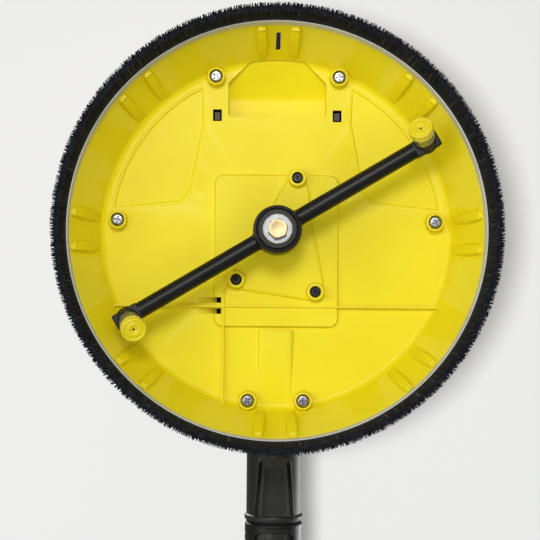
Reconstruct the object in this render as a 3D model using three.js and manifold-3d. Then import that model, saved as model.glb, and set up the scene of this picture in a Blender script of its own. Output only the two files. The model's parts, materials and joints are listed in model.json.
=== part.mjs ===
// Surface cleaner for a pressure washer: a round bristle-skirted hood with a spinning two-nozzle arm,
// a neck that tilts on a water-carrying hinge, and one extension tube.
// Millimetres. Origin: rotor axis at the surface being cleaned. +Z up, -Y front, +Y to the operator.
import * as THREE from "three";
import { mergeVertices } from "three/addons/utils/BufferGeometryUtils.js";
import Module from "manifold-3d";

const wasm = await Module();
wasm.setup();

// ---- Driving dimensions ----
const gap = 0.3; // between pieces that touch
const runningGap = 1; // between pieces that move past each other
const wall = 2.6; // moulded wall
const coarse = 10; // sides of holes and screws
const medium = 16; // sides of pins, hubs and small turned pieces
const fine = 36; // sides of the hood and its rings

// Bristle ring and its channel
const tipRadius = 145.5; // outside of the bristle tips, on the ground
const bristleSpread = 3.8; // tips stand this much further out than roots
const bristleBand = 3.6; // thickness of the ring of bristles
const channelBottom = 17; // height of the channel's lower edge
const channelWall = 0.8;
const channelDepth = 6; // how deep the bristles are held

// Hood
const rimHeight = 26; // lower edge of the hood
const slotHeight = 41; // middle of the slot in the front wall
const slotHalfLength = 9.6;
const slotHalfWidth = 1.7;
const hoodHeight = 60; // underside of the hood's flat top
const wallLean = 18.5; // the wall comes in this much from rim to top
const flangeThickness = 4;
const flangeLip = 6; // how far the rim's outer lip hangs down over the channel
const gussetPairs = 8;
const gussetHalfAngle = 4.85; // degrees, each side of a pair's centre
const gussetThickness = 5.2;
const gussetLength = 17; // how far a gusset reaches inwards from the rim
const gussetDepth = 6.5; // and how far it stands down from the wall, half way along

// Recessed bed for the rotor housing
const bedHalfWidth = 41.8;
const bedFront = -40;
const bedBack = 62.8;
const bedDepth = 3;
const plateDepth = 1.5; // triangular plate under the housing
const longRibY = 49;
const crossRibX = -35.3;
const ramp = { start: -53, rise: 8, width: 3.8, places: [43, 50.4] }; // two small ramps beside the long rib
const housingScrews = [
  [13.8, -37.6],
  [-26.9, 31.2],
  [26.3, 39.1],
];

// Hand hold at the front
const pocketHalfWidth = 33.3;
const pocketFrontHalf = 15.6;
const pocketLength = 40.4;
const pocketRise = 11.4;
const pocketFlat = 14; // level part of its ceiling
const recessLength = 28; // finger recess behind it, front to back
const recessHalfWidth = 30;

// Screws
const coverScrewInset = 8.6; // side screws, in from the edge of the flat top
const rearScrewX = 18.6;
const frontScrewX = 41.6;
const screwHeadRadius = 4.2;
const screwShankRadius = 1.75;
const bossHeight = 8;

// Rotor
const armAngle = -30.8; // degrees, direction of the first arm from +X
const armRadius = 5.5;
const armHeight = 25;
const nozzleWallGap = 22.6; // nozzle centre to the hood's rim
const nozzleTilt = 33; // degrees from the vertical
const nozzleReach = 19; // socket centre to the cap's face
const capRadius = 8.3;
const hubRadius = 16.1;
const hubTop = 37;
const shaftRadius = 6;
const bearingRadius = 13;
const bearingHeight = 7;
const bearingSpacing = 13;

// Top cover
const coverHeight = 34; // crown above the hood's top
const gripGap = 4; // cover's front wall to the recess

// Neck and its hinge
const pivotY = 54;
const barrelClearance = 1.4; // barrel to the floor of the bed
const restTilt = 5; // degrees above level, neck lying in its trough
const barrelRadius = 12;
const barrelHalfLength = 16.5;
const trunnionRadius = 6;
const neckRootRadius = 14; // where the neck leaves the barrel
const neckRadius = 18.65; // outer part of the neck
const neckFlare = 91.6; // where the neck reaches that radius, from the hinge
const neckLength = 140.2; // hinge to the collar's end
const collarLength = 4.2;
const collarRadius = 19.9;
const pipeRadius = 5;

// Coupling, release button and extension tube
const couplingLength = 62;
const couplingRadius = 19.6;
const windowHalfWidth = 13;
const windowLength = 34;
const windowInset = 5; // from the coupling's front edge
const buttonTravel = 3;
const socketRadius = 13.4; // bore that takes the tube's plug
const tubeLength = 330;
const tubeRadius = 15;
const tubeWall = 2.4;
const inletLength = 46;

// ---- Derived places ----
const radians = THREE.MathUtils.degToRad;
const rootOuter = tipRadius - bristleSpread;
const rootInner = rootOuter - bristleBand;
const channelInner = rootInner - gap - channelWall;
const channelOuter = rootOuter + gap + channelWall;
const rimRadius = channelInner - 1;
const topRadius = rimRadius - wallLean;
const hoodTop = hoodHeight + wall;
const flangeRadius = channelOuter + gap + 1.3;
const bedUnder = hoodHeight - bedDepth;
const plateUnder = bedUnder - plateDepth;
const pivotZ = hoodTop - bedDepth + barrelRadius + barrelClearance;
const pocketFront = -topRadius - 2.5;
const pocketBack = pocketFront + pocketLength;
const pocketCeiling = hoodHeight + pocketRise;
const slotHalf = barrelHalfLength + runningGap;
const slotFront = pivotY - barrelRadius - 2 * runningGap;
const nozzleRadius = rimRadius - nozzleWallGap;
const noseBottom = hubTop + 13;
const housingBase = hoodTop - bedDepth + gap;
const lowerBearingZ = housingBase + 4;
const upperBearingZ = lowerBearingZ + bearingSpacing;
const shaftTop = upperBearingZ + bearingHeight;
const couplingStart = neckLength + 1;
const couplingEnd = couplingStart + couplingLength;
const tubeStart = couplingEnd + gap;
const tubeEnd = tubeStart + tubeLength;
const frontScrewRadius = topRadius - 3.5;
const frontScrewY = -Math.sqrt(frontScrewRadius ** 2 - frontScrewX ** 2);
const rearScrewY = Math.sqrt((topRadius - 3.7) ** 2 - rearScrewX ** 2);
const sideScrewX = topRadius - coverScrewInset - 2;
const coverScrews = [
  [-frontScrewX, frontScrewY],
  [frontScrewX, frontScrewY],
  [-sideScrewX, -8.5],
  [sideScrewX, -8.5],
  [-rearScrewX, rearScrewY],
  [rearScrewX, rearScrewY],
];

// ---- Shape helpers ----

// Corners [x, y, radius]: each rounded corner becomes a short run of points on its arc.
function rounded(corners, steps = 3) {
  const points = [];
  corners.forEach(([x, y, radius = 0], i) => {
    const here = new THREE.Vector2(x, y);
    if (radius === 0) {
      points.push(here);
      return;
    }
    const before = corners[(i + corners.length - 1) % corners.length];
    const after = corners[(i + 1) % corners.length];
    const back = new THREE.Vector2(before[0] - x, before[1] - y).normalize();
    const ahead = new THREE.Vector2(after[0] - x, after[1] - y).normalize();
    const half = Math.acos(THREE.MathUtils.clamp(back.dot(ahead), -1, 1)) / 2;
    const middle = back.clone().add(ahead).normalize();
    const centre = here.clone().addScaledVector(middle, radius / Math.sin(half));
    const start = here.clone().addScaledVector(back, radius / Math.tan(half)).sub(centre);
    const end = here.clone().addScaledVector(ahead, radius / Math.tan(half)).sub(centre);
    const sweep = Math.atan2(start.cross(end), start.dot(end));
    for (let k = 0; k <= steps; k++) {
      const arm = start.clone().rotateAround(new THREE.Vector2(), (sweep * k) / steps);
      points.push(centre.clone().add(arm));
    }
  });
  return points;
}

const rectangle = (x0, x1, y0, y1, radius = 0) =>
  rounded([
    [x0, y0, radius],
    [x1, y0, radius],
    [x1, y1, radius],
    [x0, y1, radius],
  ]);

const mirrored = (points) => points.map((p) => new THREE.Vector2(-p.x, p.y)).reverse();

function prism(points, low, high) {
  const shape = new THREE.Shape(points);
  const made = new THREE.ExtrudeGeometry(shape, { depth: high - low, bevelEnabled: false });
  return made.translate(0, 0, low);
}

function block(x0, x1, y0, y1, z0, z1) {
  const made = new THREE.BoxGeometry(x1 - x0, y1 - y0, z1 - z0);
  return made.translate((x0 + x1) / 2, (y0 + y1) / 2, (z0 + z1) / 2);
}

function rod(radius, low, high, sides = medium) {
  const made = new THREE.CylinderGeometry(radius, radius, high - low, sides);
  return made.rotateX(Math.PI / 2).translate(0, 0, (low + high) / 2);
}

// Profile of [radius, height] turned about Z; a profile off the axis closes on itself.
function turned(profile, sides = medium) {
  const points = profile.map((p) => (p.isVector2 ? p : new THREE.Vector2(p[0], p[1])));
  if (points[0].x > 0) points.push(points[0]);
  return new THREE.LatheGeometry(points, sides).rotateX(Math.PI / 2);
}

function tubeAlong(places, radius, steps, sides = 8) {
  const path = new THREE.CatmullRomCurve3(places.map((p) => new THREE.Vector3(...p)));
  const section = new THREE.Shape();
  for (let k = 0; k < sides; k++) {
    const turn = (2 * Math.PI * k) / sides;
    const go = k === 0 ? "moveTo" : "lineTo";
    section[go](radius * Math.cos(turn), radius * Math.sin(turn));
  }
  const options = { steps, bevelEnabled: false, extrudePath: path };
  return new THREE.ExtrudeGeometry(section, options);
}

const alongX = (geometry) => geometry.rotateY(Math.PI / 2);
const alongY = (geometry) => geometry.rotateX(-Math.PI / 2);
const at = (geometry, x, y, z = 0) => geometry.clone().translate(x, y, z);

// ---- Joining and cutting ----

function solid(geometry) {
  const bare = new THREE.BufferGeometry();
  bare.setAttribute("position", geometry.getAttribute("position"));
  bare.setIndex(geometry.getIndex());
  const merged = mergeVertices(bare, 1e-4);
  const corners = merged.index.array;
  const faces = [];
  for (let i = 0; i < corners.length; i += 3) {
    const [a, b, c] = [corners[i], corners[i + 1], corners[i + 2]];
    if (a !== b && b !== c && c !== a) faces.push(a, b, c);
  }
  const vertProperties = merged.getAttribute("position").array;
  const make = (order) =>
    new wasm.Manifold(new wasm.Mesh({ numProp: 3, vertProperties, triVerts: new Uint32Array(order) }));
  const made = make(faces);
  return made.volume() < 0 ? make(faces.reverse()) : made;
}

function geometryOf(made) {
  const mesh = made.getMesh();
  const geometry = new THREE.BufferGeometry();
  geometry.setAttribute("position", new THREE.BufferAttribute(new Float32Array(mesh.vertProperties), 3));
  geometry.setIndex(new THREE.BufferAttribute(new Uint32Array(mesh.triVerts), 1));
  return geometry;
}

const join = (...pieces) => geometryOf(pieces.map(solid).reduce((all, next) => all.add(next)));
const cut = (piece, ...tools) => geometryOf(tools.map(solid).reduce((rest, tool) => rest.subtract(tool), solid(piece)));
const meet = (a, b) => geometryOf(solid(a).intersect(solid(b)));

// ---- Materials and placing ----
const finish = (color, roughness, metalness = 0) =>
  new THREE.MeshStandardMaterial({ color, roughness, metalness });
const yellow = finish(0xe6d41f, 0.42);
const black = finish(0x1c1d1c, 0.5);
const anthracite = finish(0x2c2f30, 0.55);
const paleGrey = finish(0xc6c8c0, 0.5);
const bristle = finish(0x222422, 0.9);
const rubber = finish(0x191919, 0.85);
const steel = finish(0xb9bcbe, 0.3, 1);
const zinc = finish(0x9ea2a3, 0.38, 1);
const blackZinc = finish(0x2a2a2b, 0.4, 0.8);
const brass = finish(0xcaa64a, 0.32, 1);

const cleaner = new THREE.Group();
const rotor = new THREE.Group();
const neckGroup = new THREE.Group();
rotor.rotation.z = radians(armAngle);
neckGroup.position.set(0, pivotY, pivotZ);
neckGroup.rotation.x = radians(restTilt);
cleaner.add(rotor, neckGroup);

function place(group, name, geometry, material) {
  const mesh = new THREE.Mesh(geometryOf(solid(geometry)), material);
  mesh.name = name;
  group.add(mesh);
}

// ---- Hood ----

// Inside face and outside face of the dished shell; `grow` moves a face outwards and up.
function hoodFace(grow, base) {
  return [
    [0, base],
    [rimRadius + grow, base],
    [rimRadius + grow, rimHeight],
    [topRadius + grow, hoodHeight + grow, 5 + grow],
    [0, hoodHeight + grow],
  ];
}

// Half plan of a shoulder in front of the cover's wings, where the hood stands a little higher.
function shoulder(inset) {
  const edge = topRadius - 4 - inset;
  const start = Math.atan2(-96, 47 + inset);
  const stop = Math.atan2(-15 - inset, edge);
  const arc = [];
  for (let k = 0; k <= 8; k++) {
    const turn = start + ((stop - start) * k) / 8;
    arc.push([edge * Math.cos(turn), edge * Math.sin(turn)]);
  }
  return rounded([
    ...arc,
    [62 + inset, -19.5 - inset, 5],
    [56 + inset, -27 - inset, 4],
    [52.5 + inset, -48],
    [47.5 + inset, -75],
  ]);
}

const pocketPlan = (grow) =>
  rounded([
    [-pocketFrontHalf - grow, pocketFront - grow, 3],
    [pocketFrontHalf + grow, pocketFront - grow, 3],
    [pocketHalfWidth + grow, pocketFront + 17 - grow, 4],
    [pocketHalfWidth + grow, pocketBack + grow, 3],
    [-pocketHalfWidth - grow, pocketBack + grow, 3],
    [-pocketHalfWidth - grow, pocketFront + 17 - grow, 4],
  ]);

// Side view of the pocket: a slope up from the front, then level.
function pocketSpace(grow, low) {
  const side = rounded([
    [pocketFront - 2 * grow - 1, low],
    [pocketBack + 2 * grow, low],
    [pocketBack + 2 * grow, pocketCeiling + grow],
    [pocketBack - pocketFlat, pocketCeiling + grow, 4],
    [pocketFront - 2 * grow - 1, hoodHeight + grow - 0.6],
  ]);
  const width = pocketHalfWidth + 2 * grow;
  const wedge = prism(side, -width, width).rotateX(Math.PI / 2).rotateZ(Math.PI / 2);
  return meet(wedge, prism(pocketPlan(grow), low, pocketCeiling + 2 * grow));
}

// Trough under the neck, following its slope at rest; `grow` is the wall below it.
function troughSpace(grow) {
  const low = -neckRootRadius - 1.5 - grow;
  const section = rounded([
    [-10 - grow / 2, low, 2],
    [10 + grow / 2, low, 2],
    [13.6 + grow, 6],
    [-13.6 - grow, 6],
  ]);
  const run = prism(section, 12 - grow, 110).rotateX(Math.PI / 2).scale(1, -1, 1);
  return run.rotateX(radians(restTilt)).translate(0, pivotY, pivotZ);
}

// Height of the wall's inside face at a radius.
const wallHeight = (radius) => rimHeight + ((rimRadius - radius) * (hoodHeight - rimHeight)) / wallLean;

// Triangular rib between the rim and the wall.
function gusset(turn) {
  const halfWay = rimRadius - gussetLength / 2;
  const profile = [
    [rimRadius + 1, rimHeight],
    [halfWay, wallHeight(halfWay) - gussetDepth],
    [rimRadius - gussetLength, wallHeight(rimRadius - gussetLength)],
    [halfWay + wall / 2, wallHeight(halfWay)],
  ].map(([x, y]) => new THREE.Vector2(x, y));
  const plate = prism(profile, -gussetThickness / 2, gussetThickness / 2);
  return plate.rotateX(Math.PI / 2).rotateZ(turn);
}

function makeHood() {
  const outside = turned(rounded(hoodFace(wall, rimHeight)), fine);
  const inside = turned(rounded(hoodFace(0, rimHeight - 1)), fine);
  const flange = turned(
    rounded([
      [rimRadius + 0.5, rimHeight],
      [channelOuter + gap, rimHeight],
      [channelOuter + gap, rimHeight - flangeLip],
      [flangeRadius, rimHeight - flangeLip],
      [flangeRadius, rimHeight + flangeThickness, 2],
      [rimRadius + 0.5, rimHeight + flangeThickness],
    ]),
    fine,
  );
  const rightShoulder = shoulder(0);
  const rightUnder = shoulder(wall);
  const rise = 2;
  let hood = join(outside, flange);
  for (const plan of [rightShoulder, mirrored(rightShoulder)]) {
    hood = join(hood, prism(plan, hoodHeight + 1, hoodTop + rise));
  }
  hood = join(hood, pocketSpace(wall, hoodHeight + 0.5));
  hood = cut(hood, inside, pocketSpace(0, hoodHeight - 2));
  for (const plan of [rightUnder, mirrored(rightUnder)]) {
    hood = cut(hood, prism(plan, hoodHeight - 1, hoodHeight + rise));
  }

  const bed = prism(rectangle(-bedHalfWidth, bedHalfWidth, bedFront, bedBack, 6), bedUnder, hoodHeight + 1);
  const bedTop = rectangle(wall - bedHalfWidth, bedHalfWidth - wall, bedFront + wall, bedBack - wall, 4);
  const ribReach = (across) => Math.sqrt((topRadius + 2.6) ** 2 - across ** 2);
  const ribs = [
    block(-ribReach(longRibY), ribReach(longRibY), longRibY - 0.7, longRibY + 0.7, bedUnder - 1.5, hoodHeight + 0.5),
    block(crossRibX - 0.7, crossRibX + 0.7, 42, ribReach(crossRibX), bedUnder - 1.5, hoodHeight + 0.5),
  ];
  const plate = join(
    prism(housingPlan(6.4), plateUnder, hoodHeight + 0.5),
    prism(housingPlan(7.8 + wall / 2), hoodHeight - 2, hoodHeight + 0.5),
  );
  const gussets = [];
  for (let pair = 0; pair < gussetPairs; pair++) {
    for (const side of [-1, 1]) {
      const turn = (pair * 360) / gussetPairs + side * gussetHalfAngle;
      gussets.push(gusset(radians(turn)));
    }
  }
  const trough = meet(troughSpace(2.4), turned(rounded(hoodFace(0.5, rimHeight)), fine));
  const bosses = [
    ...coverScrews.map(([x, y]) => at(rod(screwHeadRadius + 2.1, hoodHeight - bossHeight, hoodHeight + 1, coarse), x, y)),
    ...housingScrews.map(([x, y]) => at(rod(5.9, plateUnder - 5, bedUnder + 1, coarse), x, y)),
  ];
  const rampY = [ramp.places[0] - 1.2, ramp.places[1] + ramp.width + 1.2];
  const rampHouse = block(ramp.start - 1.5, wall - bedHalfWidth, ...rampY, hoodHeight + 0.5, hoodTop + ramp.rise);
  hood = join(hood, rampHouse, bed, plate, trough, ...ribs, ...gussets, ...bosses);
  hood = cut(
    hood,
    prism(bedTop, hoodTop - bedDepth, hoodTop + 5),
    prism(housingPlan(7.8), hoodTop - bedDepth, hoodTop + 5),
    troughSpace(0),
    rod(12, plateUnder - 5, hoodTop + 1, 24),
    wallSlot(0),
    ...coverScrews.flatMap(([x, y]) => screwHole(x, y, hoodHeight - bossHeight, hoodHeight + 8)),
    ...housingScrews.flatMap(([x, y]) => screwHole(x, y, plateUnder - 5, hoodTop + 1)),
    ...[-1, 1].map((side) => at(block(-3, 3, -4, 4, hoodHeight - 2, hoodTop + 4), side * 40.6, pocketBack - 1)),
  );
  // Each ramp is open at its deep end.
  const deepX = crossRibX - 1.5;
  const rampSide = [
    [ramp.start, bedUnder - 1],
    [deepX, bedUnder - 1],
    [deepX, hoodTop + ramp.rise - 1.2],
    [ramp.start, hoodHeight],
  ].map(([x, z]) => new THREE.Vector2(x, z));
  for (const y of ramp.places) {
    const space = prism(rampSide, 0, ramp.width).rotateX(Math.PI / 2);
    hood = cut(hood, space.translate(0, y + ramp.width, 0));
  }
  return hood;
}

// Slot through the front wall, square to it; `inset` shrinks it for the plug that closes it.
function wallSlot(inset) {
  const lean = Math.atan2(wallLean, hoodHeight - rimHeight);
  const across = slotHalfWidth - inset;
  const along = slotHalfLength - inset;
  const made = block(-across, across, -2 * wall, wall, -along, along);
  const inner = rimRadius - (slotHeight - rimHeight) * Math.tan(lean);
  return made.rotateX(-lean).translate(0, -inner, slotHeight);
}

const screwHole = (x, y, low, high) => [
  at(rod(screwHeadRadius + 0.4, low - 1, low + 3.6, coarse), x, y),
  at(rod(screwShankRadius + gap, low, high, coarse), x, y),
];

// Triangle with round corners about the three housing screws.
function housingPlan(radius) {
  const [a, b, c] = housingScrews;
  const middle = [(a[0] + b[0] + c[0]) / 3, (a[1] + b[1] + c[1]) / 3];
  const points = [];
  for (const [x, y] of [a, c, b]) {
    const heading = Math.atan2(y - middle[1], x - middle[0]);
    for (let k = -3; k <= 3; k++) {
      const turn = heading + (k * Math.PI) / 9;
      points.push(new THREE.Vector2(x + radius * Math.cos(turn), y + radius * Math.sin(turn)));
    }
  }
  return points;
}

place(cleaner, "hood", makeHood(), yellow);
const plugBody = meet(wallSlot(gap), cut(
  turned(rounded(hoodFace(wall + 0.8, rimHeight)), fine),
  turned(rounded(hoodFace(0.6, rimHeight - 1)), fine),
));
place(cleaner, "wall_plug", plugBody, rubber);

// ---- Bristle ring ----
const channelTop = rimHeight - gap;
place(
  cleaner,
  "brush_channel",
  turned(
    [
      [rimRadius + 0.3, channelTop],
      [channelInner, channelBottom],
      [channelInner + channelWall, channelBottom],
      [channelInner + channelWall, channelBottom + channelDepth],
      [channelOuter - channelWall, channelBottom + channelDepth],
      [channelOuter - channelWall, channelBottom],
      [channelOuter, channelBottom],
      [channelOuter, channelTop],
    ],
    fine,
  ),
  paleGrey,
);
place(
  cleaner,
  "bristle_skirt",
  turned(
    [
      [rootInner, channelBottom + channelDepth - gap],
      [rootOuter, channelBottom + channelDepth - gap],
      [rootOuter, channelBottom],
      [tipRadius, 0],
      [tipRadius - bristleBand - 0.4, 0],
      [rootInner, channelBottom],
    ],
    fine,
  ),
  bristle,
);

// ---- Top cover ----

// Crown of the cover: a flat-topped dome that falls faster towards its edge.
function crown(drop, edge) {
  const points = [[0, hoodTop - 8]];
  const steps = 8;
  for (let k = steps; k >= 0; k--) {
    const share = Math.sin((k / steps) * (Math.PI / 2));
    const fall = (1 - share ** 3.2) ** 0.75;
    const height = hoodTop + gap + coverHeight * fall - drop;
    points.push([Math.max(share * edge, 0), height]);
  }
  points.splice(1, 0, [edge, hoodTop - 8]);
  return turned(points, fine);
}

// Plan of the cover: front tongue, wings to the side screws and the whole back.
function coverPlan(inset) {
  const edge = topRadius + 1 - inset;
  const half = [];
  const backSteps = 12;
  const wing = Math.atan2(-13, edge);
  for (let k = 0; k <= backSteps; k++) {
    const turn = Math.PI / 2 + ((wing - Math.PI / 2) * k) / backSteps;
    half.push([edge * Math.cos(turn), edge * Math.sin(turn)]);
  }
  half.push(
    [61 - inset, -17.5 + inset, 6],
    [54.5 - inset, -27 + inset, 4],
    [51 - inset, -48],
    [46 - inset, -75],
    [47.5 - inset, frontScrewY, 5],
  );
  const front = Math.atan2(frontScrewY - 6, 42 - inset);
  for (let k = 0; k < 4; k++) {
    const turn = front + ((-Math.PI / 2 - front) * k) / 4;
    half.push([edge * Math.cos(turn), edge * Math.sin(turn)]);
  }
  const other = half.slice(1).map(([x, y, r = 0]) => [-x, y, r]);
  return rounded([...half, [0, -edge], ...other.reverse()]);
}

const slotPlan = (grow) => rectangle(-slotHalf - grow, slotHalf + grow, slotFront - grow, 2 * tipRadius);
const recessBack = pocketBack + wall + gripGap + recessLength;
const recessPlan = (grow) =>
  rectangle(-recessHalfWidth - grow, recessHalfWidth + grow, pocketBack + wall + gripGap - grow, recessBack + grow, 6);

function makeCover() {
  const floorLine = hoodTop + gap;
  const ceiling = hoodTop + coverHeight + 5;
  const shell = (inset, low = floorLine) =>
    meet(crown(inset, topRadius + 1.5 - inset / 2), prism(coverPlan(inset), low, ceiling));
  const shoulders = [shoulder(-1.4), mirrored(shoulder(-1.4))];
  const outer = cut(
    shell(0),
    prism(slotPlan(0), floorLine - 1, ceiling),
    prism(recessPlan(0), hoodTop + 7, ceiling),
    ...shoulders.map((plan) => prism(plan, floorLine - 1, hoodTop + 2 + gap)),
  );
  const inner = cut(
    shell(wall, floorLine - 1),
    prism(slotPlan(wall), floorLine - 5, ceiling),
    prism(recessPlan(wall), hoodTop + 7 - wall, ceiling),
  );
  const posts = coverScrews.map(([x, y]) => at(rod(4.6, floorLine, ceiling, coarse), x, y));
  const hingeBoss = alongX(rod(12, slotHalf, slotHalf + 11, medium));
  const bosses = [1, -1].map((side) => at(hingeBoss.clone().scale(side, 1, 1), 0, pivotY, pivotZ));
  const insideSolid = shell(wall / 2);
  const added = [...posts, ...bosses].map((piece) => meet(piece, insideSolid));
  let cover = join(cut(outer, inner), ...added);
  cover = cut(
    cover,
    prism(housingPlan(7.8), floorLine - 1, housingBase + 4.1 + gap),
    pocketSpace(wall + gap, floorLine - 1),
    ...coverScrews.map(([x, y]) => at(rod(screwShankRadius + gap, floorLine - 1, floorLine + 5.5, coarse), x, y)),
    alongX(rod(trunnionRadius + gap, -slotHalf - 12, slotHalf + 12, medium)).translate(0, pivotY, pivotZ),
  );
  // Hooks at the front corners of the bed drop into the hood's square holes.
  const hooks = [-1, 1].map((side) =>
    block(-1.8, 1.8, -2.6, 2.6, hoodHeight + 0.4, ceiling).translate(side * 40.6, pocketBack - 1, 0),
  );
  return join(cover, ...hooks.map((hook) => meet(hook, crown(1, topRadius))));
}
place(cleaner, "top_cover", makeCover(), anthracite);

// Soft pad on the front hand hold, curved with the crown it sits on.
function makeGripPad() {
  const plan = rectangle(-26, 26, pocketBack - 13, pocketBack + 1.5, 5);
  const thickness = 2;
  const ring = cut(crown(-gap - thickness, topRadius + 1.5), crown(-gap, topRadius + 1.5));
  return meet(ring, prism(plan, hoodTop + 4, hoodTop + coverHeight + 5));
}
place(cleaner, "grip_pad", makeGripPad(), rubber);

// ---- Screws ----
function makeScrew(headLow, tip, headRadius) {
  const head = 2.6;
  const driver = at(rod(1.7, headLow - 1, headLow + 1.4, 6), 0, 0);
  const body = turned([
    [0, headLow],
    [headRadius - 0.8, headLow],
    [headRadius, headLow + 0.8],
    [headRadius, headLow + head],
    [screwShankRadius, headLow + head],
    [screwShankRadius, tip - 1.5],
    [0, tip],
  ], coarse);
  return cut(body, driver);
}
coverScrews.forEach(([x, y], i) => {
  const low = hoodHeight - bossHeight + 0.6;
  const screw = makeScrew(low, hoodTop + gap + 5, screwHeadRadius);
  place(cleaner, `cover_screw_${i + 1}`, at(screw, x, y), zinc);
});
housingScrews.forEach(([x, y], i) => {
  const screw = makeScrew(plateUnder - 4.4, housingBase + 3.4, 3.5);
  place(cleaner, `housing_screw_${i + 1}`, at(screw, x, y), blackZinc);
});

// ---- Rotary housing, its bearings and seal ----
const housingRadius = bearingRadius + gap + 3.2;
const housingTop = shaftTop + 0.6;
const noseRadius = 11.7;
function makeHousing() {
  const body = turned([
    [shaftRadius + 1, noseBottom],
    [noseRadius, noseBottom],
    [noseRadius, housingBase],
    [housingRadius, housingBase],
    [housingRadius, housingTop],
    [bearingRadius + gap, housingTop],
    [bearingRadius + gap, lowerBearingZ - gap],
    [shaftRadius + 1, lowerBearingZ - gap],
    [shaftRadius + 1, noseBottom + 8],
    [shaftRadius + 3.6, noseBottom + 8],
    [shaftRadius + 3.6, noseBottom + 1.5],
    [shaftRadius + 1, noseBottom + 1.5],
  ]);
  const flange = cut(
    prism(housingPlan(7.2), housingBase, housingBase + 4.1),
    rod(bearingRadius + 1, housingBase - 1, housingBase + 5),
    ...housingScrews.map(([x, y]) => at(rod(screwShankRadius + gap, housingBase - 1, housingBase + 5, coarse), x, y)),
  );
  return join(body, flange);
}
place(cleaner, "rotor_housing", makeHousing(), black);
place(
  cleaner,
  "shaft_seal",
  turned([
    [shaftRadius + gap, noseBottom + 2],
    [shaftRadius + 3.3, noseBottom + 2],
    [shaftRadius + 3.3, noseBottom + 7],
    [shaftRadius + 1.2, noseBottom + 7],
    [shaftRadius + gap, noseBottom + 4],
  ]),
  rubber,
);
for (const [name, low] of [["bearing_lower", lowerBearingZ], ["bearing_upper", upperBearingZ]]) {
  const ring = [
    [shaftRadius + gap, low],
    [bearingRadius, low],
    [bearingRadius, low + bearingHeight - gap],
    [shaftRadius + gap, low + bearingHeight - gap],
  ];
  place(cleaner, name, turned(ring, medium), steel);
}
place(
  cleaner,
  "bearing_spacer",
  turned([
    [bearingRadius - 2.2, lowerBearingZ + bearingHeight],
    [bearingRadius, lowerBearingZ + bearingHeight],
    [bearingRadius, upperBearingZ - gap],
    [bearingRadius - 2.2, upperBearingZ - gap],
  ], medium),
  steel,
);
// Screwed cap on the housing; its side spout takes the feed pipe.
const capLow = housingTop + gap;
const spoutZ = capLow + 3.4;
function makeHousingCap() {
  const cap = turned([
    [0, capLow + 7],
    [housingRadius - 2, capLow + 7],
    [housingRadius, capLow + 5],
    [housingRadius, capLow],
    [4.2, capLow],
    [4.2, capLow + 4.5],
    [0, capLow + 4.5],
  ]);
  const spout = alongX(rod(3.3, 12, 24, coarse)).translate(0, 0, spoutZ);
  const bore = alongX(rod(1.6, 3, 25, coarse)).translate(0, 0, spoutZ);
  return cut(join(cap, spout), bore);
}
place(cleaner, "housing_cap", makeHousingCap(), black);

// ---- Water-carrying hinge ----
const trunnionEnd = slotHalf + 11;
function makeTrunnion(hollow) {
  const pin = turned([
    [0, 0.6],
    [trunnionRadius, 0.6],
    [trunnionRadius, 6],
    [trunnionRadius - 1.6, 6],
    [trunnionRadius - 1.6, 8.6],
    [trunnionRadius, 8.6],
    [trunnionRadius, trunnionEnd],
    [trunnionRadius + 2.4, trunnionEnd + gap],
    [trunnionRadius + 2.4, trunnionEnd + 3],
    [0, trunnionEnd + 3],
  ]);
  const shaped = hollow ? cut(pin, rod(3, -1, trunnionEnd + 4, coarse)) : pin;
  return alongX(shaped);
}
place(cleaner, "trunnion_right", makeTrunnion(true).translate(0, pivotY, pivotZ), brass);
place(cleaner, "trunnion_left", makeTrunnion(false).scale(-1, 1, 1).translate(0, pivotY, pivotZ), brass);
function ringAt(major, minor, sides = medium) {
  return new THREE.TorusGeometry(major, minor, 5, sides);
}
for (const [name, side] of [["trunnion_o_ring_right", 1], ["trunnion_o_ring_left", -1]]) {
  const ring = ringAt(trunnionRadius - 0.75, 0.7).rotateY(Math.PI / 2);
  place(cleaner, name, ring.translate(side * 7.3, pivotY, pivotZ), rubber);
}
const elbowX = trunnionEnd + 3 + gap;
function makeElbow() {
  const body = block(0, 11, -7, 7, -7, 7);
  const inlet = alongX(rod(2.8, -1, 6, coarse));
  const outlet = alongY(rod(2.4, -8, 1, coarse)).translate(5.5, 0, 0);
  const spout = alongY(rod(3.3, -13, -6, coarse)).translate(5.5, 0, 0);
  const bore = alongY(rod(1.6, -14, 0, coarse)).translate(5.5, 0, 0);
  return cut(join(body, spout), inlet, outlet, bore).translate(elbowX, pivotY, pivotZ);
}
place(cleaner, "feed_elbow", makeElbow(), brass);
const feedRoute = [
  [elbowX + 5.5, pivotY - 13 - gap, pivotZ],
  [elbowX + 5.5, pivotY - 17, pivotZ],
  [elbowX + 5.5, pivotY - 26, pivotZ + 3],
  [elbowX, 14, spoutZ - 4],
  [elbowX - 4, 3, spoutZ - 0.6],
  [24 + gap + 2.2, 0, spoutZ],
  [24 + gap, 0, spoutZ],
];
place(cleaner, "feed_pipe", tubeAlong(feedRoute, 3.3, 18), rubber);

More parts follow.
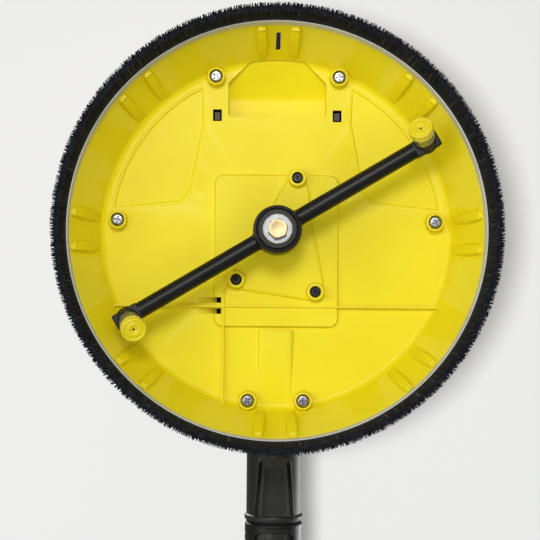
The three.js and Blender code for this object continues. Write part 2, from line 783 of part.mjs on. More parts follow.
// ---- Rotor ----
const boltHeadLow = 6.9;
const washerLow = 10.9;
const washerTop = washerLow + 1.6;
const hubFace = washerTop + gap;
function makeArm() {
  const hub = turned([
    [shaftRadius + gap, hubFace],
    [13, hubFace],
    [13, hubFace + 2.2],
    [hubRadius - 1.4, hubFace + 2.2],
    [hubRadius, hubFace + 3.6],
    [hubRadius, hubTop - 4],
    [hubRadius - 4, hubTop],
    [10.5, hubTop + 1],
    [10.5, hubTop + 10],
    [shaftRadius + gap, hubTop + 10],
    [shaftRadius + gap, hubTop + 4.6],
    [shaftRadius + 2, hubTop + 4.6],
    [shaftRadius + 2, hubTop + 2.2],
    [shaftRadius + gap, hubTop + 2.2],
    [shaftRadius + gap, armHeight + 9],
    [shaftRadius + 2, armHeight + 9],
    [shaftRadius + 2, armHeight - 2],
    [shaftRadius + gap, armHeight - 2],
    [shaftRadius + gap, hubFace + 5.6],
    [shaftRadius + 2, hubFace + 5.6],
    [shaftRadius + 2, hubFace + 3.2],
    [shaftRadius + gap, hubFace + 3.2],
  ], 20);
  const outline = rounded([
    [0, -hubRadius + 1],
    [hubRadius + 9, -armRadius + 0.4],
    [hubRadius + 9, armRadius - 0.4],
    [0, hubRadius - 1],
    [-hubRadius - 9, armRadius - 0.4],
    [-hubRadius - 9, -armRadius + 0.4],
  ]);
  const flare = prism(outline, armHeight - 4, armHeight + 4);
  const arms = alongX(rod(armRadius, -nozzleRadius, nozzleRadius, medium)).translate(0, 0, armHeight);
  const bores = [1, -1].map((side) =>
    alongX(rod(2, shaftRadius + 1, nozzleRadius - 2, coarse)).scale(side, 1, 1).translate(0, 0, armHeight),
  );
  const holders = [0, Math.PI].flatMap((turn) => {
    const end = block(nozzleRadius - 9.5, nozzleRadius + 9, -5, 5.8, armHeight - 5.6, armHeight + 7);
    const cup = rod(7.7, -6.2, 2).rotateX(radians(-nozzleTilt)).translate(nozzleRadius, 0, armHeight);
    return [end.rotateZ(turn), cup.rotateZ(turn)];
  });
  const sockets = [0, Math.PI].flatMap((turn) =>
    [rod(5.8, -8, 3), rod(capRadius, -16, -6.2)].map((space) =>
      space.rotateX(radians(-nozzleTilt)).translate(nozzleRadius, 0, armHeight).rotateZ(turn),
    ),
  );
  const shell = cut(join(flare, arms, ...holders), rod(hubRadius - 2, armHeight - 9, armHeight + 9, 24));
  return cut(join(hub, shell), ...bores, ...sockets);
}
place(rotor, "rotor_arm", makeArm(), black);

function makeShaft() {
  const bar = rod(shaftRadius, hubFace, shaftTop, medium);
  const across = alongX(rod(1.8, -10, 10, coarse)).translate(0, 0, armHeight + 6);
  return cut(bar, rod(3.3, hubFace - 1, armHeight + 2, coarse), rod(2.4, armHeight + 4, shaftTop + 1, coarse), across);
}
place(rotor, "rotor_shaft", makeShaft(), steel);
place(rotor, "hub_washer", turned([
  [shaftRadius - 2.4, washerLow],
  [9.4, washerLow],
  [10.2, washerLow + 0.8],
  [10.2, washerTop],
  [shaftRadius - 2.4, washerTop],
]), steel);
place(rotor, "hub_bolt", join(
  rod(6.2, boltHeadLow, washerLow - gap, 6),
  rod(3, washerLow - 1, armHeight + 1, coarse),
), brass);
for (const [name, height] of [["hub_o_ring_lower", hubFace + 4.4], ["hub_o_ring_upper", hubTop + 3.4]]) {
  place(rotor, name, ringAt(shaftRadius + 1.1, 0.75).translate(0, 0, height), rubber);
}

// Each nozzle hangs in a tilted socket; -Z of its group is the way the jet leaves.
for (const [number, turn] of [[1, 0], [2, Math.PI]]) {
  const end = new THREE.Group();
  end.rotation.z = turn;
  const holder = new THREE.Group();
  holder.position.set(nozzleRadius, 0, armHeight);
  holder.rotation.x = radians(-nozzleTilt);
  end.add(holder);
  rotor.add(end);
  const capTop = -nozzleReach + 5.6;
  const body = turned([
    [0.7, -nozzleReach + 2.4],
    [5.4, -nozzleReach + 2.4],
    [5.4, capTop + gap],
    [7.6, capTop + gap],
    [7.6, -6.2 - gap],
    [5.5, -6.2 - gap],
    [5.5, 2],
    [1.6, 2],
    [1.6, -nozzleReach + 6],
    [0.7, -nozzleReach + 5],
  ], coarse);
  place(holder, `nozzle_body_${number}`, body, steel);
  const cap = turned([
    [1.1, -nozzleReach + 0.9],
    [2.6, -nozzleReach + 0.9],
    [3.2, -nozzleReach + 0.3],
    [5.4, -nozzleReach + 0.3],
    [6, -nozzleReach + 0.8],
    [6.8, -nozzleReach + 0.8],
    [7.2, -nozzleReach],
    [capRadius - 0.5, -nozzleReach],
    [capRadius, -nozzleReach + 0.8],
    [capRadius, capTop],
    [5.7, capTop],
    [5.7, -nozzleReach + 2.1],
    [1.1, -nozzleReach + 2.1],
  ], 20);
  place(holder, `nozzle_cap_${number}`, cap, yellow);
}

// ---- Neck (built level, hinge axis at its origin, +Y outwards) ----
const bridgeStart = 20;
function makeNeck() {
  const barrel = alongX(rod(barrelRadius, -barrelHalfLength, barrelHalfLength, 24));
  const outside = turned([
    [0, 0],
    [barrelRadius - 1.5, 0],
    [barrelRadius - 1.5, barrelRadius + 2],
    [neckRootRadius, barrelRadius + 10],
    [neckRootRadius, neckFlare - 22],
    [neckRadius, neckFlare],
    [neckRadius, neckLength - collarLength],
    [collarRadius, neckLength - collarLength + 0.8],
    [collarRadius, neckLength - 0.8],
    [collarRadius - 1, neckLength],
    [0, neckLength],
  ], 28);
  const blockStart = neckFlare + 5.5;
  const panelStart = blockStart + 5;
  const panelEnd = neckLength - collarLength - 0.6;
  const under = -neckRadius;
  // Sunken panel between two slots, all widening towards the collar.
  const panel = prism(
    rounded([
      [-6.4, panelStart, 1],
      [6.4, panelStart, 1],
      [9, panelEnd, 3],
      [-9, panelEnd, 3],
    ]),
    under - 2,
    under + 3.2,
  );
  const slots = [1, -1].map((side) => {
    const points = rounded([
      [8.8, blockStart, 0.8],
      [10.8, blockStart, 0.8],
      [13.6, panelEnd - 0.6, 0.9],
      [11.4, panelEnd - 0.6, 0.9],
    ]);
    return prism(side > 0 ? points : mirrored(points), under - 1, under + 7);
  });
  const pipeWay = alongY(rod(pipeRadius + gap, bridgeStart - 6, neckLength + 1, medium));
  const chamber = alongY(rod(3.4, -1, bridgeStart, coarse));
  const pinWay = alongX(rod(trunnionRadius + gap, -barrelHalfLength - 1, barrelHalfLength + 1, medium));
  const socket = alongY(rod(10, neckLength - 12, neckLength + 1, 24));
  return cut(join(barrel, alongY(outside)), panel, ...slots, pipeWay, chamber, pinWay, socket);
}
place(neckGroup, "neck", makeNeck(), anthracite);

const pipe = (start, end, radius, bore) =>
  alongY(cut(rod(radius, start, end, medium), rod(bore, start - 1, end + 1, coarse)));
place(neckGroup, "neck_pipe", pipe(bridgeStart - 5, couplingStart + 20, pipeRadius, 3), steel);

// Flats and ribs on the coupling read as grip; its window faces the ground at rest.
const windowStart = couplingStart + windowInset;
const windowEnd = windowStart + windowLength;
const windowPlan = (inset) =>
  rectangle(inset - windowHalfWidth, windowHalfWidth - inset, windowStart + inset, windowEnd - inset, 5 - inset);
function makeCoupling() {
  const sleeve = alongY(turned([
    [pipeRadius + gap, couplingStart],
    [couplingRadius - 1, couplingStart],
    [couplingRadius, couplingStart + 1],
    [couplingRadius, couplingEnd - 12],
    [tubeRadius + 2, couplingEnd],
    [socketRadius, couplingEnd],
    [socketRadius, couplingStart + 3],
    [pipeRadius + gap, couplingStart + 3],
  ], 28));
  const flats = [1, -1].map((side) =>
    block(couplingRadius - 0.9, couplingRadius + 2, windowStart, windowEnd, -6, 6).scale(side, 1, 1),
  );
  return cut(sleeve, prism(windowPlan(0), -couplingRadius - 2, 6.5 - socketRadius), ...flats);
}
place(neckGroup, "coupling", makeCoupling(), black);
// Back end of the neck's collar: a thin seal ring closes the joint to the coupling.
place(neckGroup, "collar_ring", alongY(turned([
  [collarRadius - 5, neckLength + gap],
  [collarRadius - 2.2, neckLength + gap],
  [collarRadius - 2.2, couplingStart - gap],
  [collarRadius - 5, couplingStart - gap],
], 28)), rubber);

// Release button: a curved pad in the window, pressed inwards against a spring.
const button = new THREE.Group();
neckGroup.add(button);
const padOuter = couplingRadius - 2.4;
function makeButton() {
  const shell = alongY(turned([
    [padOuter - 1.6, windowStart - 5],
    [padOuter, windowStart - 5],
    [padOuter, windowEnd + 5],
    [padOuter - 1.6, windowEnd + 5],
  ], 28));
  const pad = meet(shell, prism(windowPlan(0.7), -couplingRadius - 1, -8 - buttonTravel));
  const ridges = [0, 1, 2, 3].map((k) => {
    const y = windowEnd - 8 - 4 * k;
    return block(-7, 7, y - 0.7, y + 0.7, -padOuter - 0.9, -padOuter + 1);
  });
  return join(pad, ...ridges);
}
place(button, "release_button", makeButton(), anthracite);
const springPlace = 22; // from the window's front edge
const springRadius = 3;
function makeSpring() {
  const turns = 3;
  const wire = 0.45;
  const low = -padOuter + 1.6 + gap + wire;
  const high = -plugRadius - gap - wire;
  const places = [];
  for (let k = 0; k <= turns * 6; k++) {
    const turn = (k * Math.PI) / 3;
    places.push([springRadius * Math.cos(turn), springRadius * Math.sin(turn), low + ((high - low) * k) / (turns * 6)]);
  }
  return tubeAlong(places, wire, turns * 8, 5).translate(0, windowStart + springPlace, 0);
}

// ---- Extension tube ----
const plugRadius = socketRadius - 2.4;
const plugStart = couplingStart + 21;
place(button, "button_spring", makeSpring(), steel);
const plug = alongY(turned([
  [4, plugStart],
  [plugRadius - 1, plugStart],
  [plugRadius, plugStart + 1],
  [plugRadius, couplingEnd - 22],
  [socketRadius - gap, couplingEnd - 20],
  [socketRadius - gap, couplingEnd - gap],
  [plugRadius, couplingEnd - gap],
  [plugRadius, couplingEnd - 14],
  [4, couplingEnd - 14],
], medium));
const springSeat = rod(springRadius + 1, -plugRadius - 1, buttonTravel + 2 * gap - plugRadius, medium);
place(neckGroup, "tube_plug", cut(plug, at(springSeat, 0, windowStart + springPlace)), black);
place(neckGroup, "pressure_pipe", pipe(couplingEnd - 14 + gap, tubeEnd, 4, 2.4), steel);
place(neckGroup, "extension_tube", alongY(turned([
  [tubeRadius - tubeWall, tubeStart],
  [tubeRadius + 1.6, tubeStart],
  [tubeRadius + 1.6, tubeStart + 6],
  [tubeRadius, tubeStart + 9],
  [tubeRadius, tubeEnd],
  [tubeRadius - tubeWall, tubeEnd],
], 24)), black);
function makeInlet() {
  const start = tubeEnd + gap;
  const end = start + inletLength;
  const body = alongY(turned([
    [5, start],
    [tubeRadius + 2.4, start],
    [tubeRadius + 3, start + 1],
    [tubeRadius + 3, start + 18],
    [tubeRadius - 1, start + 22],
    [tubeRadius - 1, end],
    [9.5, end],
    [9.5, start + 24],
    [5, start + 24],
  ], 24));
  const lugs = [0, 1].map((k) =>
    block(-4, 4, end - 9, end - 3, 11, tubeRadius + 2.2).rotateY(k * Math.PI),
  );
  const flutes = [];
  for (let k = 0; k < 10; k++) {
    const flute = alongY(rod(1.5, start + 3, start + 15, 10)).translate(0, 0, tubeRadius + 3.4);
    flutes.push(flute.rotateY((k * Math.PI) / 5));
  }
  return cut(join(body, ...lugs), ...flutes);
}
place(neckGroup, "inlet_connector", makeInlet(), black);
place(
  neckGroup,
  "inlet_o_ring",
  ringAt(8.3, 0.85).rotateX(Math.PI / 2).translate(0, tubeEnd + gap + 24 + 6, 0),
  rubber,
);

export default cleaner;
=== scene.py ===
import json
import math
import random

import bmesh
import bpy
from mathutils import Matrix, Vector


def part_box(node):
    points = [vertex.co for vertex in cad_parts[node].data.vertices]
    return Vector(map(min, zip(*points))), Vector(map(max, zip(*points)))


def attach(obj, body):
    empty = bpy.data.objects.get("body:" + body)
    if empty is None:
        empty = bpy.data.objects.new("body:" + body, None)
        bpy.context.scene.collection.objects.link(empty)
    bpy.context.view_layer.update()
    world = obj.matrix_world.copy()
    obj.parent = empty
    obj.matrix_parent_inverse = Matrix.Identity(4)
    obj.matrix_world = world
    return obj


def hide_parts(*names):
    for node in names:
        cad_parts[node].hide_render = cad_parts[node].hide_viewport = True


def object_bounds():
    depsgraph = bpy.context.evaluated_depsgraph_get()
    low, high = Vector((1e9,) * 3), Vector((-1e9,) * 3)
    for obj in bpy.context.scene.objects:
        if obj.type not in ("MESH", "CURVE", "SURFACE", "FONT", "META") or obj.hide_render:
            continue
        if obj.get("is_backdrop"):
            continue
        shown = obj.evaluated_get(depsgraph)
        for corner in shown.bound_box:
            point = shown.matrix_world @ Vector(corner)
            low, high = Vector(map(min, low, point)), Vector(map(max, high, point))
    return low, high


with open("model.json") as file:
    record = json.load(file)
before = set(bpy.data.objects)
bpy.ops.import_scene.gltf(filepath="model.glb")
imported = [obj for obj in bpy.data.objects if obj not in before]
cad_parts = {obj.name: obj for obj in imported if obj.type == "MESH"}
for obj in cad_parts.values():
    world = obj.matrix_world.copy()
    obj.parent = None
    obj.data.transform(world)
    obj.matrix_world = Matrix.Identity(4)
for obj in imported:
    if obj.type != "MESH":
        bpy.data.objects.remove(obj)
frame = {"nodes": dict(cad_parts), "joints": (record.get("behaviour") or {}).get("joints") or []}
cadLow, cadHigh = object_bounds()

random.seed(11)
mm = 0.001  # shapes are made in millimetres and scaled to metres as they become pieces
sides = 180  # facets round the big turned pieces
print("frame loaded:", len(frame["nodes"]), "nodes")


# ---- making shapes ----

def cadBox(node):
    low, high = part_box(node)
    return Vector(low) / mm, Vector(high) / mm


def shapeFrom(points, faces):
    mesh = bpy.data.meshes.new("shape")
    mesh.from_pydata([tuple(p) for p in points], [], faces)
    return tidied(mesh)


def tidied(mesh, merge=1e-4):
    work = bmesh.new()
    work.from_mesh(mesh)
    bmesh.ops.remove_doubles(work, verts=work.verts, dist=merge)
    bmesh.ops.recalc_face_normals(work, faces=work.faces)
    work.to_mesh(mesh)
    work.free()
    return mesh


# Corners (x, y, radius): a corner with a radius becomes points along its arc.
def rounded(corners, steps=6):
    points = []
    count = len(corners)
    for i, corner in enumerate(corners):
        here = Vector(corner[:2])
        radius = corner[2] if len(corner) > 2 else 0
        if radius == 0:
            points.append(here)
            continue
        back = (Vector(corners[i - 1][:2]) - here).normalized()
        ahead = (Vector(corners[(i + 1) % count][:2]) - here).normalized()
        half = back.angle(ahead) / 2
        centre = here + (back + ahead).normalized() * (radius / math.sin(half))
        start = here + back * (radius / math.tan(half)) - centre
        end = here + ahead * (radius / math.tan(half)) - centre
        sweep = start.angle_signed(end)
        for k in range(steps + 1):
            arm = start.copy()
            arm.rotate(Matrix.Rotation(-sweep * k / steps, 2))
            points.append(centre + arm)
    return [(p[0], p[1]) for p in points]


def rectangle(x0, x1, y0, y1, radius=0.0):
    return rounded([(x0, y0, radius), (x1, y0, radius), (x1, y1, radius), (x0, y1, radius)])


def mirrored(points):
    return [(-x, y) for x, y in reversed(points)]


# Loft through outlines that hold the same number of points, one at each height.
def lofted(outlines, heights):
    count = len(outlines[0])
    points = [(x, y, z) for outline, z in zip(outlines, heights) for x, y in outline]
    faces = [tuple(range(count)), tuple(range(len(points) - count, len(points)))]
    for row in range(len(outlines) - 1):
        for k in range(count):
            a, b = row * count + k, row * count + (k + 1) % count
            faces.append((a, b, b + count, a + count))
    return shapeFrom(points, faces)


def prism(outline, low, high):
    return lofted([outline, outline], [low, high])


def block(x0, x1, y0, y1, z0, z1):
    return prism(rectangle(x0, x1, y0, y1), z0, z1)


# Profile of (radius, height) turned about Z; a profile off the axis closes on itself.
def turned(profile, around=sides):
    rows = len(profile)
    closed = profile[0][0] > 0
    points, faces = [], []
    for k in range(around):
        turn = 2 * math.pi * k / around
        for radius, height in profile:
            points.append((radius * math.cos(turn), radius * math.sin(turn), height))
    for k in range(around):
        a, b = k * rows, (k + 1) % around * rows
        for i in range(rows if closed else rows - 1):
            j = (i + 1) % rows
            faces.append((a + i, b + i, b + j, a + j))
    return shapeFrom(points, faces)


def rod(radius, low, high, around=48):
    return turned([(0, low), (radius, low), (radius, high), (0, high)], around)


def softened(mesh, width, segments=3, sharpest=25):
    work = bmesh.new()
    work.from_mesh(mesh)
    limit = math.radians(sharpest)
    edges = [e for e in work.edges if len(e.link_faces) == 2 and e.calc_face_angle(0) > limit]
    bmesh.ops.bevel(work, geom=edges, offset=width, segments=segments, profile=0.5, affect="EDGES",
                    clamp_overlap=True)
    work.to_mesh(mesh)
    work.free()
    return tidied(mesh)


def moved(mesh, *steps):
    made = mesh.copy()
    for step in steps:
        made.transform(step)
    return tidied(made)


def shift(x, y, z=0.0):
    return Matrix.Translation((x, y, z))


def spin(degrees, axis="Z"):
    return Matrix.Rotation(math.radians(degrees), 4, axis)


flipX = Matrix.Diagonal((-1, 1, 1, 1))
alongX = spin(90, "Y")
alongY = spin(-90, "X")


# Profile of (radius, place along Y, corner radius) turned about Y.
def turnedAlongY(profile, steps=1):
    return moved(turned(rounded(profile, steps), 96), alongY)


def combined(operation, base, tools):
    scene = bpy.context.scene
    carrier = bpy.data.objects.new("carrier", base)
    scene.collection.objects.link(carrier)
    helpers = []
    for tool in tools:
        helper = bpy.data.objects.new("helper", tool)
        scene.collection.objects.link(helper)
        helpers.append(helper)
        step = carrier.modifiers.new("step", "BOOLEAN")
        step.operation = operation
        step.solver = "MANIFOLD"
        step.object = helper
    graph = bpy.context.evaluated_depsgraph_get()
    made = bpy.data.meshes.new_from_object(carrier.evaluated_get(graph))
    for used in [carrier, *helpers]:
        bpy.data.objects.remove(used)
    return made


def joined(base, *tools):
    return combined("UNION", base, tools)


def cut(base, *tools):
    return combined("DIFFERENCE", base, tools)


def common(base, tool):
    return combined("INTERSECT", base, [tool])


# Several closed shapes that stay separate inside one mesh.
def gathered(shapes):
    work = bmesh.new()
    for shape in shapes:
        work.from_mesh(shape)
    made = bpy.data.meshes.new("gathered")
    work.to_mesh(made)
    work.free()
    return made


# Tube of one radius (or one radius for each point) along points in space.
def tubeAlong(points, radius, around=16):
    places = [Vector(p) for p in points]
    radii = radius if isinstance(radius, list) else [radius] * len(places)
    rings, faces = [], []
    side = Vector((0, 0, 1)) if abs((places[1] - places[0]).normalized().z) < 0.9 else Vector((1, 0, 0))
    for i, place in enumerate(places):
        ahead = (places[min(i + 1, len(places) - 1)] - places[max(i - 1, 0)]).normalized()
        side = (side - ahead * side.dot(ahead)).normalized()
        other = ahead.cross(side)
        for k in range(around):
            turn = 2 * math.pi * k / around
            rings.append(place + (side * math.cos(turn) + other * math.sin(turn)) * radii[i])
    for i in range(len(places) - 1):
        for k in range(around):
            a, b = i * around + k, i * around + (k + 1) % around
            faces.append((a, b, b + around, a + around))
    faces.append(tuple(range(around)))
    faces.append(tuple(range(len(rings) - around, len(rings))))
    return shapeFrom(rings, faces)


def curved(points, each=8):
    places = [Vector(p) for p in points]
    ends = [2 * places[0] - places[1], *places, 2 * places[-1] - places[-2]]
    smooth = []
    for i in range(1, len(ends) - 2):
        a, b, c, d = ends[i - 1:i + 3]
        for k in range(each):
            t = k / each
            smooth.append(0.5 * (2 * b + (c - a) * t + (2 * a - 5 * b + 4 * c - d) * t ** 2
                                 + (3 * b - a - 3 * c + d) * t ** 3))
    return [*smooth, places[-1]]


# ---- shader kit ----

class Value:  # a shader socket that takes part in Python sums
    def __init__(self, finish, socket):
        self.finish, self.socket = finish, socket

    def math(self, operation, *others):
        values = {i: v for i, v in enumerate(others)}
        return self.finish.node("ShaderNodeMath", {"operation": operation}, values)

    def __add__(self, other):
        return self.math("ADD", self, other)

    def __radd__(self, other):
        return self.math("ADD", other, self)

    def __sub__(self, other):
        return self.math("SUBTRACT", self, other)

    def __rsub__(self, other):
        return self.math("SUBTRACT", other, self)

    def __mul__(self, other):
        return self.math("MULTIPLY", self, other)

    def __rmul__(self, other):
        return self.math("MULTIPLY", other, self)

    def __pow__(self, other):
        return self.math("POWER", self, other)


class Finish:  # one material and the nodes it is made of
    def __init__(self, name):
        self.material = bpy.data.materials.new(name)
        self.material.use_nodes = True
        self.tree = self.material.node_tree
        self.tree.nodes.clear()

    def node(self, kind, settings=None, values=None, output=0):
        made = self.tree.nodes.new(kind)
        for key, value in (settings or {}).items():
            if key == "stops":
                for k, (place, colour) in enumerate(value):
                    stops = made.color_ramp.elements
                    stop = stops[k] if k < 2 else stops.new(place)
                    stop.position, stop.color = place, colour
            else:
                setattr(made, key, value)
        for key, value in (values or {}).items():
            if isinstance(value, Value):
                self.tree.links.new(value.socket, made.inputs[key])
            else:
                made.inputs[key].default_value = value
        return Value(self, made.outputs[output])

    def place(self, scale=(1, 1, 1)):
        spot = self.node("ShaderNodeTexCoord", output="Object")
        return self.node("ShaderNodeVectorMath", {"operation": "MULTIPLY"}, {0: spot, 1: scale})

    def noise(self, scale, detail=3.0, place=None, roughness=0.5):
        spot = place or self.place()
        values = {"Vector": spot, "Scale": scale, "Detail": detail, "Roughness": roughness}
        return self.node("ShaderNodeTexNoise", None, values, "Fac")

    def ramp(self, value, low, high):
        values = {"Value": value, "From Min": low, "From Max": high}
        return self.node("ShaderNodeMapRange", {"clamp": True}, values)

    def mix(self, share, first, second):
        settings = {"data_type": "RGBA", "blend_type": "MIX"}
        return self.node("ShaderNodeMix", settings, {0: share, 6: first, 7: second}, 2)

    def bump(self, height, strength, distance):
        values = {"Height": height, "Strength": strength, "Distance": distance}
        return self.node("ShaderNodeBump", None, values)

    def surface(self, values):
        shader = self.node("ShaderNodeBsdfPrincipled", None, values)
        self.node_output(shader)
        return self.material

    def node_output(self, shader):
        out = self.tree.nodes.new("ShaderNodeOutputMaterial")
        self.tree.links.new(shader.socket, out.inputs["Surface"])


def linear(red, green, blue):  # from screen values 0..255 to light
    def one(c):
        c = c / 255
        return c / 12.92 if c <= 0.04045 else ((c + 0.055) / 1.055) ** 2.4
    return (one(red), one(green), one(blue), 1.0)


# ---- finishes ----

def mouldedPlastic(name, look):
    finish = Finish(name)
    broad = finish.noise(look["broad"], 3.0)
    cloud = finish.ramp(broad, 0.3, 0.7)
    fine = finish.noise(look["grain"], 2.0)
    scuff = finish.ramp(finish.noise(look["scuff"], 6.0, finish.place((1, 0.25, 1)), 0.7), 0.56, 0.72)
    # Pointiness lightens sharp edges towards the rubbed colour: partly edge wear, partly a painted highlight.
    edge = finish.node("ShaderNodeNewGeometry", output="Pointiness")
    rubbedAndHighlit = finish.ramp(edge, 0.515, 0.6)
    body = finish.mix(cloud, look["deep"], look["light"])
    body = finish.mix(rubbedAndHighlit * look["wear"], body, look["rubbedAndHighlit"])
    body = finish.mix(scuff * look["scuffing"], body, look["rubbedAndHighlit"])
    rough = look["rough"] + (fine - 0.5) * look["unevenness"] + scuff * look["scuffing"] * 0.5
    height = fine * look["grainShare"] + broad * (1 - look["grainShare"])
    values = {
        "Base Color": body,
        "Roughness": rough,
        "Normal": finish.bump(height, look["relief"], look["depth"]),
        "Specular IOR Level": look["specular"],
    }
    return finish.surface(values)


# The third colour is used for scuffs, and on sharp edges for edge wear and a painted highlight.
def paint(deep, light, rubbedAndHighlit, **changes):
    look = {
        "deep": linear(*deep), "light": linear(*light), "rubbedAndHighlit": linear(*rubbedAndHighlit),
        "broad": 22.0, "grain": 2600.0, "scuff": 90.0, "wear": 0.35, "scuffing": 0.1,
        "rough": 0.42, "unevenness": 0.12, "grainShare": 0.8, "relief": 0.25, "depth": 0.0002,
        "specular": 0.5,
    }
    look.update(changes)
    return look


# Third colour of each paint: scuffs, plus edge wear and a painted highlight on sharp edges.
yellowPlastic = mouldedPlastic("yellow_plastic", paint(
    (234, 215, 20), (239, 222, 26), (246, 232, 96), rough=0.36, relief=0.12, scuffing=0.05, wear=0.25,
    specular=0.2))
capPlastic = mouldedPlastic("yellow_cap_plastic", paint(
    (229, 208, 24), (238, 219, 32), (248, 238, 130), rough=0.32, relief=0.15, wear=0.5))
blackPlastic = mouldedPlastic("black_plastic", paint(
    (11, 11, 11), (19, 19, 18), (66, 66, 64), rough=0.4, relief=0.3, wear=0.3, scuffing=0.1, specular=0.4))
anthracitePlastic = mouldedPlastic("anthracite_plastic", paint(
    (27, 28, 27), (36, 37, 35), (92, 94, 90), rough=0.46, relief=0.5, grain=1500.0, depth=0.0003))
paleGreyPlastic = mouldedPlastic("pale_grey_plastic", paint(
    (184, 186, 180), (202, 203, 196), (226, 226, 220), rough=0.4, relief=0.15, specular=0.3))
rubberFinish = mouldedPlastic("soft_rubber", paint(
    (18, 18, 18), (27, 27, 26), (60, 60, 58), rough=0.72, unevenness=0.2, relief=0.6, specular=0.3))


def bristleFinish():
    look = {"deep": linear(14, 14, 16), "mid": linear(54, 57, 66), "light": linear(128, 128, 130)}
    finish = Finish("bristle_nylon")
    tone = finish.node("ShaderNodeNewGeometry", output="Random Per Island")
    streak = finish.noise(420.0, 2.0)
    share = finish.ramp(tone * 0.7 + streak * 0.6, 0.2, 1.15)
    body = finish.mix(share, look["deep"], look["mid"])
    pale = finish.ramp(tone, 0.93, 1.0) * finish.ramp(streak, 0.35, 0.65)
    return finish.surface({
        "Base Color": finish.mix(pale, body, look["light"]),
        "Roughness": 0.7 + streak * 0.3,
        "Specular IOR Level": 0.06,
    })


def metal(name, look):
    finish = Finish(name)
    lines = finish.noise(look["lines"], 3.0, finish.place(look["stretch"]))
    spots = finish.ramp(finish.noise(look["spots"], 4.0), 0.45, 0.75)
    # Pointiness lightens sharp edges towards the fourth colour: a painted highlight.
    edge = finish.node("ShaderNodeNewGeometry", output="Pointiness")
    paintedEdgeHighlight = finish.ramp(edge, 0.51, 0.58)
    body = finish.mix(finish.ramp(lines, 0.3, 0.7), look["deep"], look["light"])
    body = finish.mix(spots * look["dulling"], body, look["dull"])
    body = finish.mix(paintedEdgeHighlight * 0.4, body, look["paintedEdgeHighlight"])
    return finish.surface({
        "Base Color": body,
        "Metallic": 1.0,
        "Roughness": look["rough"] + lines * look["unevenness"] + spots * look["dulling"] * 0.3,
        "Normal": finish.bump(lines, 0.25, 0.00005),
    })


def metalLook(deep, light, dull, paintedEdgeHighlight, **changes):
    look = {
        "deep": linear(*deep), "light": linear(*light), "dull": linear(*dull), "paintedEdgeHighlight": linear(*paintedEdgeHighlight),
        "lines": 700.0, "stretch": (1, 1, 0.08), "spots": 260.0, "dulling": 0.25,
        "rough": 0.24, "unevenness": 0.14,
    }
    look.update(changes)
    return look


# The fourth colour of each metal is a painted highlight on sharp edges.
steelFinish = metal("stainless_steel", metalLook(
    (150, 151, 154), (178, 179, 182), (112, 112, 114), (214, 214, 216), rough=0.34))
zincFinish = metal("zinc_plated_steel", metalLook(
    (150, 151, 157), (196, 197, 202), (96, 97, 102), (235, 235, 238), rough=0.25, dulling=0.35))
blackSteelFinish = metal("blackened_steel", metalLook(
    (34, 34, 37), (56, 56, 60), (16, 16, 16), (140, 140, 145), rough=0.3, dulling=0.2))
brassFinish = metal("brass", metalLook(
    (226, 204, 150), (240, 222, 174), (190, 160, 104), (246, 234, 204), rough=0.4))
print("finishes made")


# ---- placing pieces ----

def addPiece(name, mesh, body, finish, nodes=(), frameOf=None, crease=34):
    if frameOf is not None:
        mesh.transform(frameOf)
    mesh.transform(Matrix.Scale(mm, 4))
    piece = bpy.data.objects.new(name, mesh)
    bpy.context.scene.collection.objects.link(piece)
    mesh.materials.clear()
    mesh.materials.append(finish)
    mesh.polygons.foreach_set("use_smooth", [True] * len(mesh.polygons))
    mesh.set_sharp_from_angle(angle=math.radians(crease))
    even = piece.modifiers.new("even shading", "WEIGHTED_NORMAL")
    even.keep_sharp = True
    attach(piece, body)
    if nodes:
        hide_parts(*nodes)
    return piece


# A piece that stands in for the one node it is named after.
def addFine(node, mesh, body, finish, frameOf=None):
    return addPiece(f"{node}_fine", mesh, body, finish, [node], frameOf)


joints = {joint["name"]: joint for joint in frame["joints"]}
pivot = Vector(joints["neck_tilt"]["pos_m"]) / mm
slide = Vector(joints["button_press"]["axis"])
restTilt = math.degrees(math.atan2(-slide.y, slide.z))
neckFrame = shift(*pivot) @ spin(restTilt, "X")
backToNeck = neckFrame.inverted()


# Where a node of the lance starts and ends along the neck's own axis.
def reach(node):
    places = [backToNeck @ (v.co / mm) for v in frame["nodes"][node].data.vertices]
    return min(p.y for p in places), max(p.y for p in places)


tipRadius = cadBox("bristle_skirt")[1].x
channelOuter = cadBox("brush_channel")[1].x
channelBottom, channelTop = cadBox("brush_channel")[0].z, cadBox("brush_channel")[1].z
flangeRadius = cadBox("hood")[1].x
armHigh = cadBox("rotor_arm")[1].z
armLow = cadBox("rotor_arm")[0].z


# ---- hood ----

hoodSize = {
    "rimHeight": 26, "height": 60, "wall": 2.6, "lean": 18.5, "rimGap": 6.8,
    "flangeThick": 4, "lip": 6, "shoulderRise": 2,
    "gussetPairs": 8, "gussetHalfAngle": 4.85,
    "gusset": {"half": 2.6, "length": 17.5, "depth": 6.5, "draft": 0.35},
    "bed": (41.8, -40, 62.8), "bedDepth": 3, "plateDepth": 1.5,
    "longRibY": 49, "crossRibX": -35.3, "ribThick": 1.3,
    "pocketHalf": 33.3, "pocketFrontHalf": 15.6, "pocketLength": 40.4, "pocketRise": 11.4, "pocketFlat": 14,
    "bossHeight": 8, "bossRadius": 6.2, "holeX": 40.6, "slot": (41, 1.7, 9.6),
    "ramp": {"start": -53, "rise": 6.8, "width": 3.8, "places": (43, 50.4)},
}
rimRadius = channelOuter - hoodSize["rimGap"]
topRadius = rimRadius - hoodSize["lean"]
hoodTop = hoodSize["height"] + hoodSize["wall"]
pocketFront = -topRadius - 2.5
pocketBack = pocketFront + hoodSize["pocketLength"]


def middleOf(node):
    low, high = cadBox(node)
    return (low + high) / 2


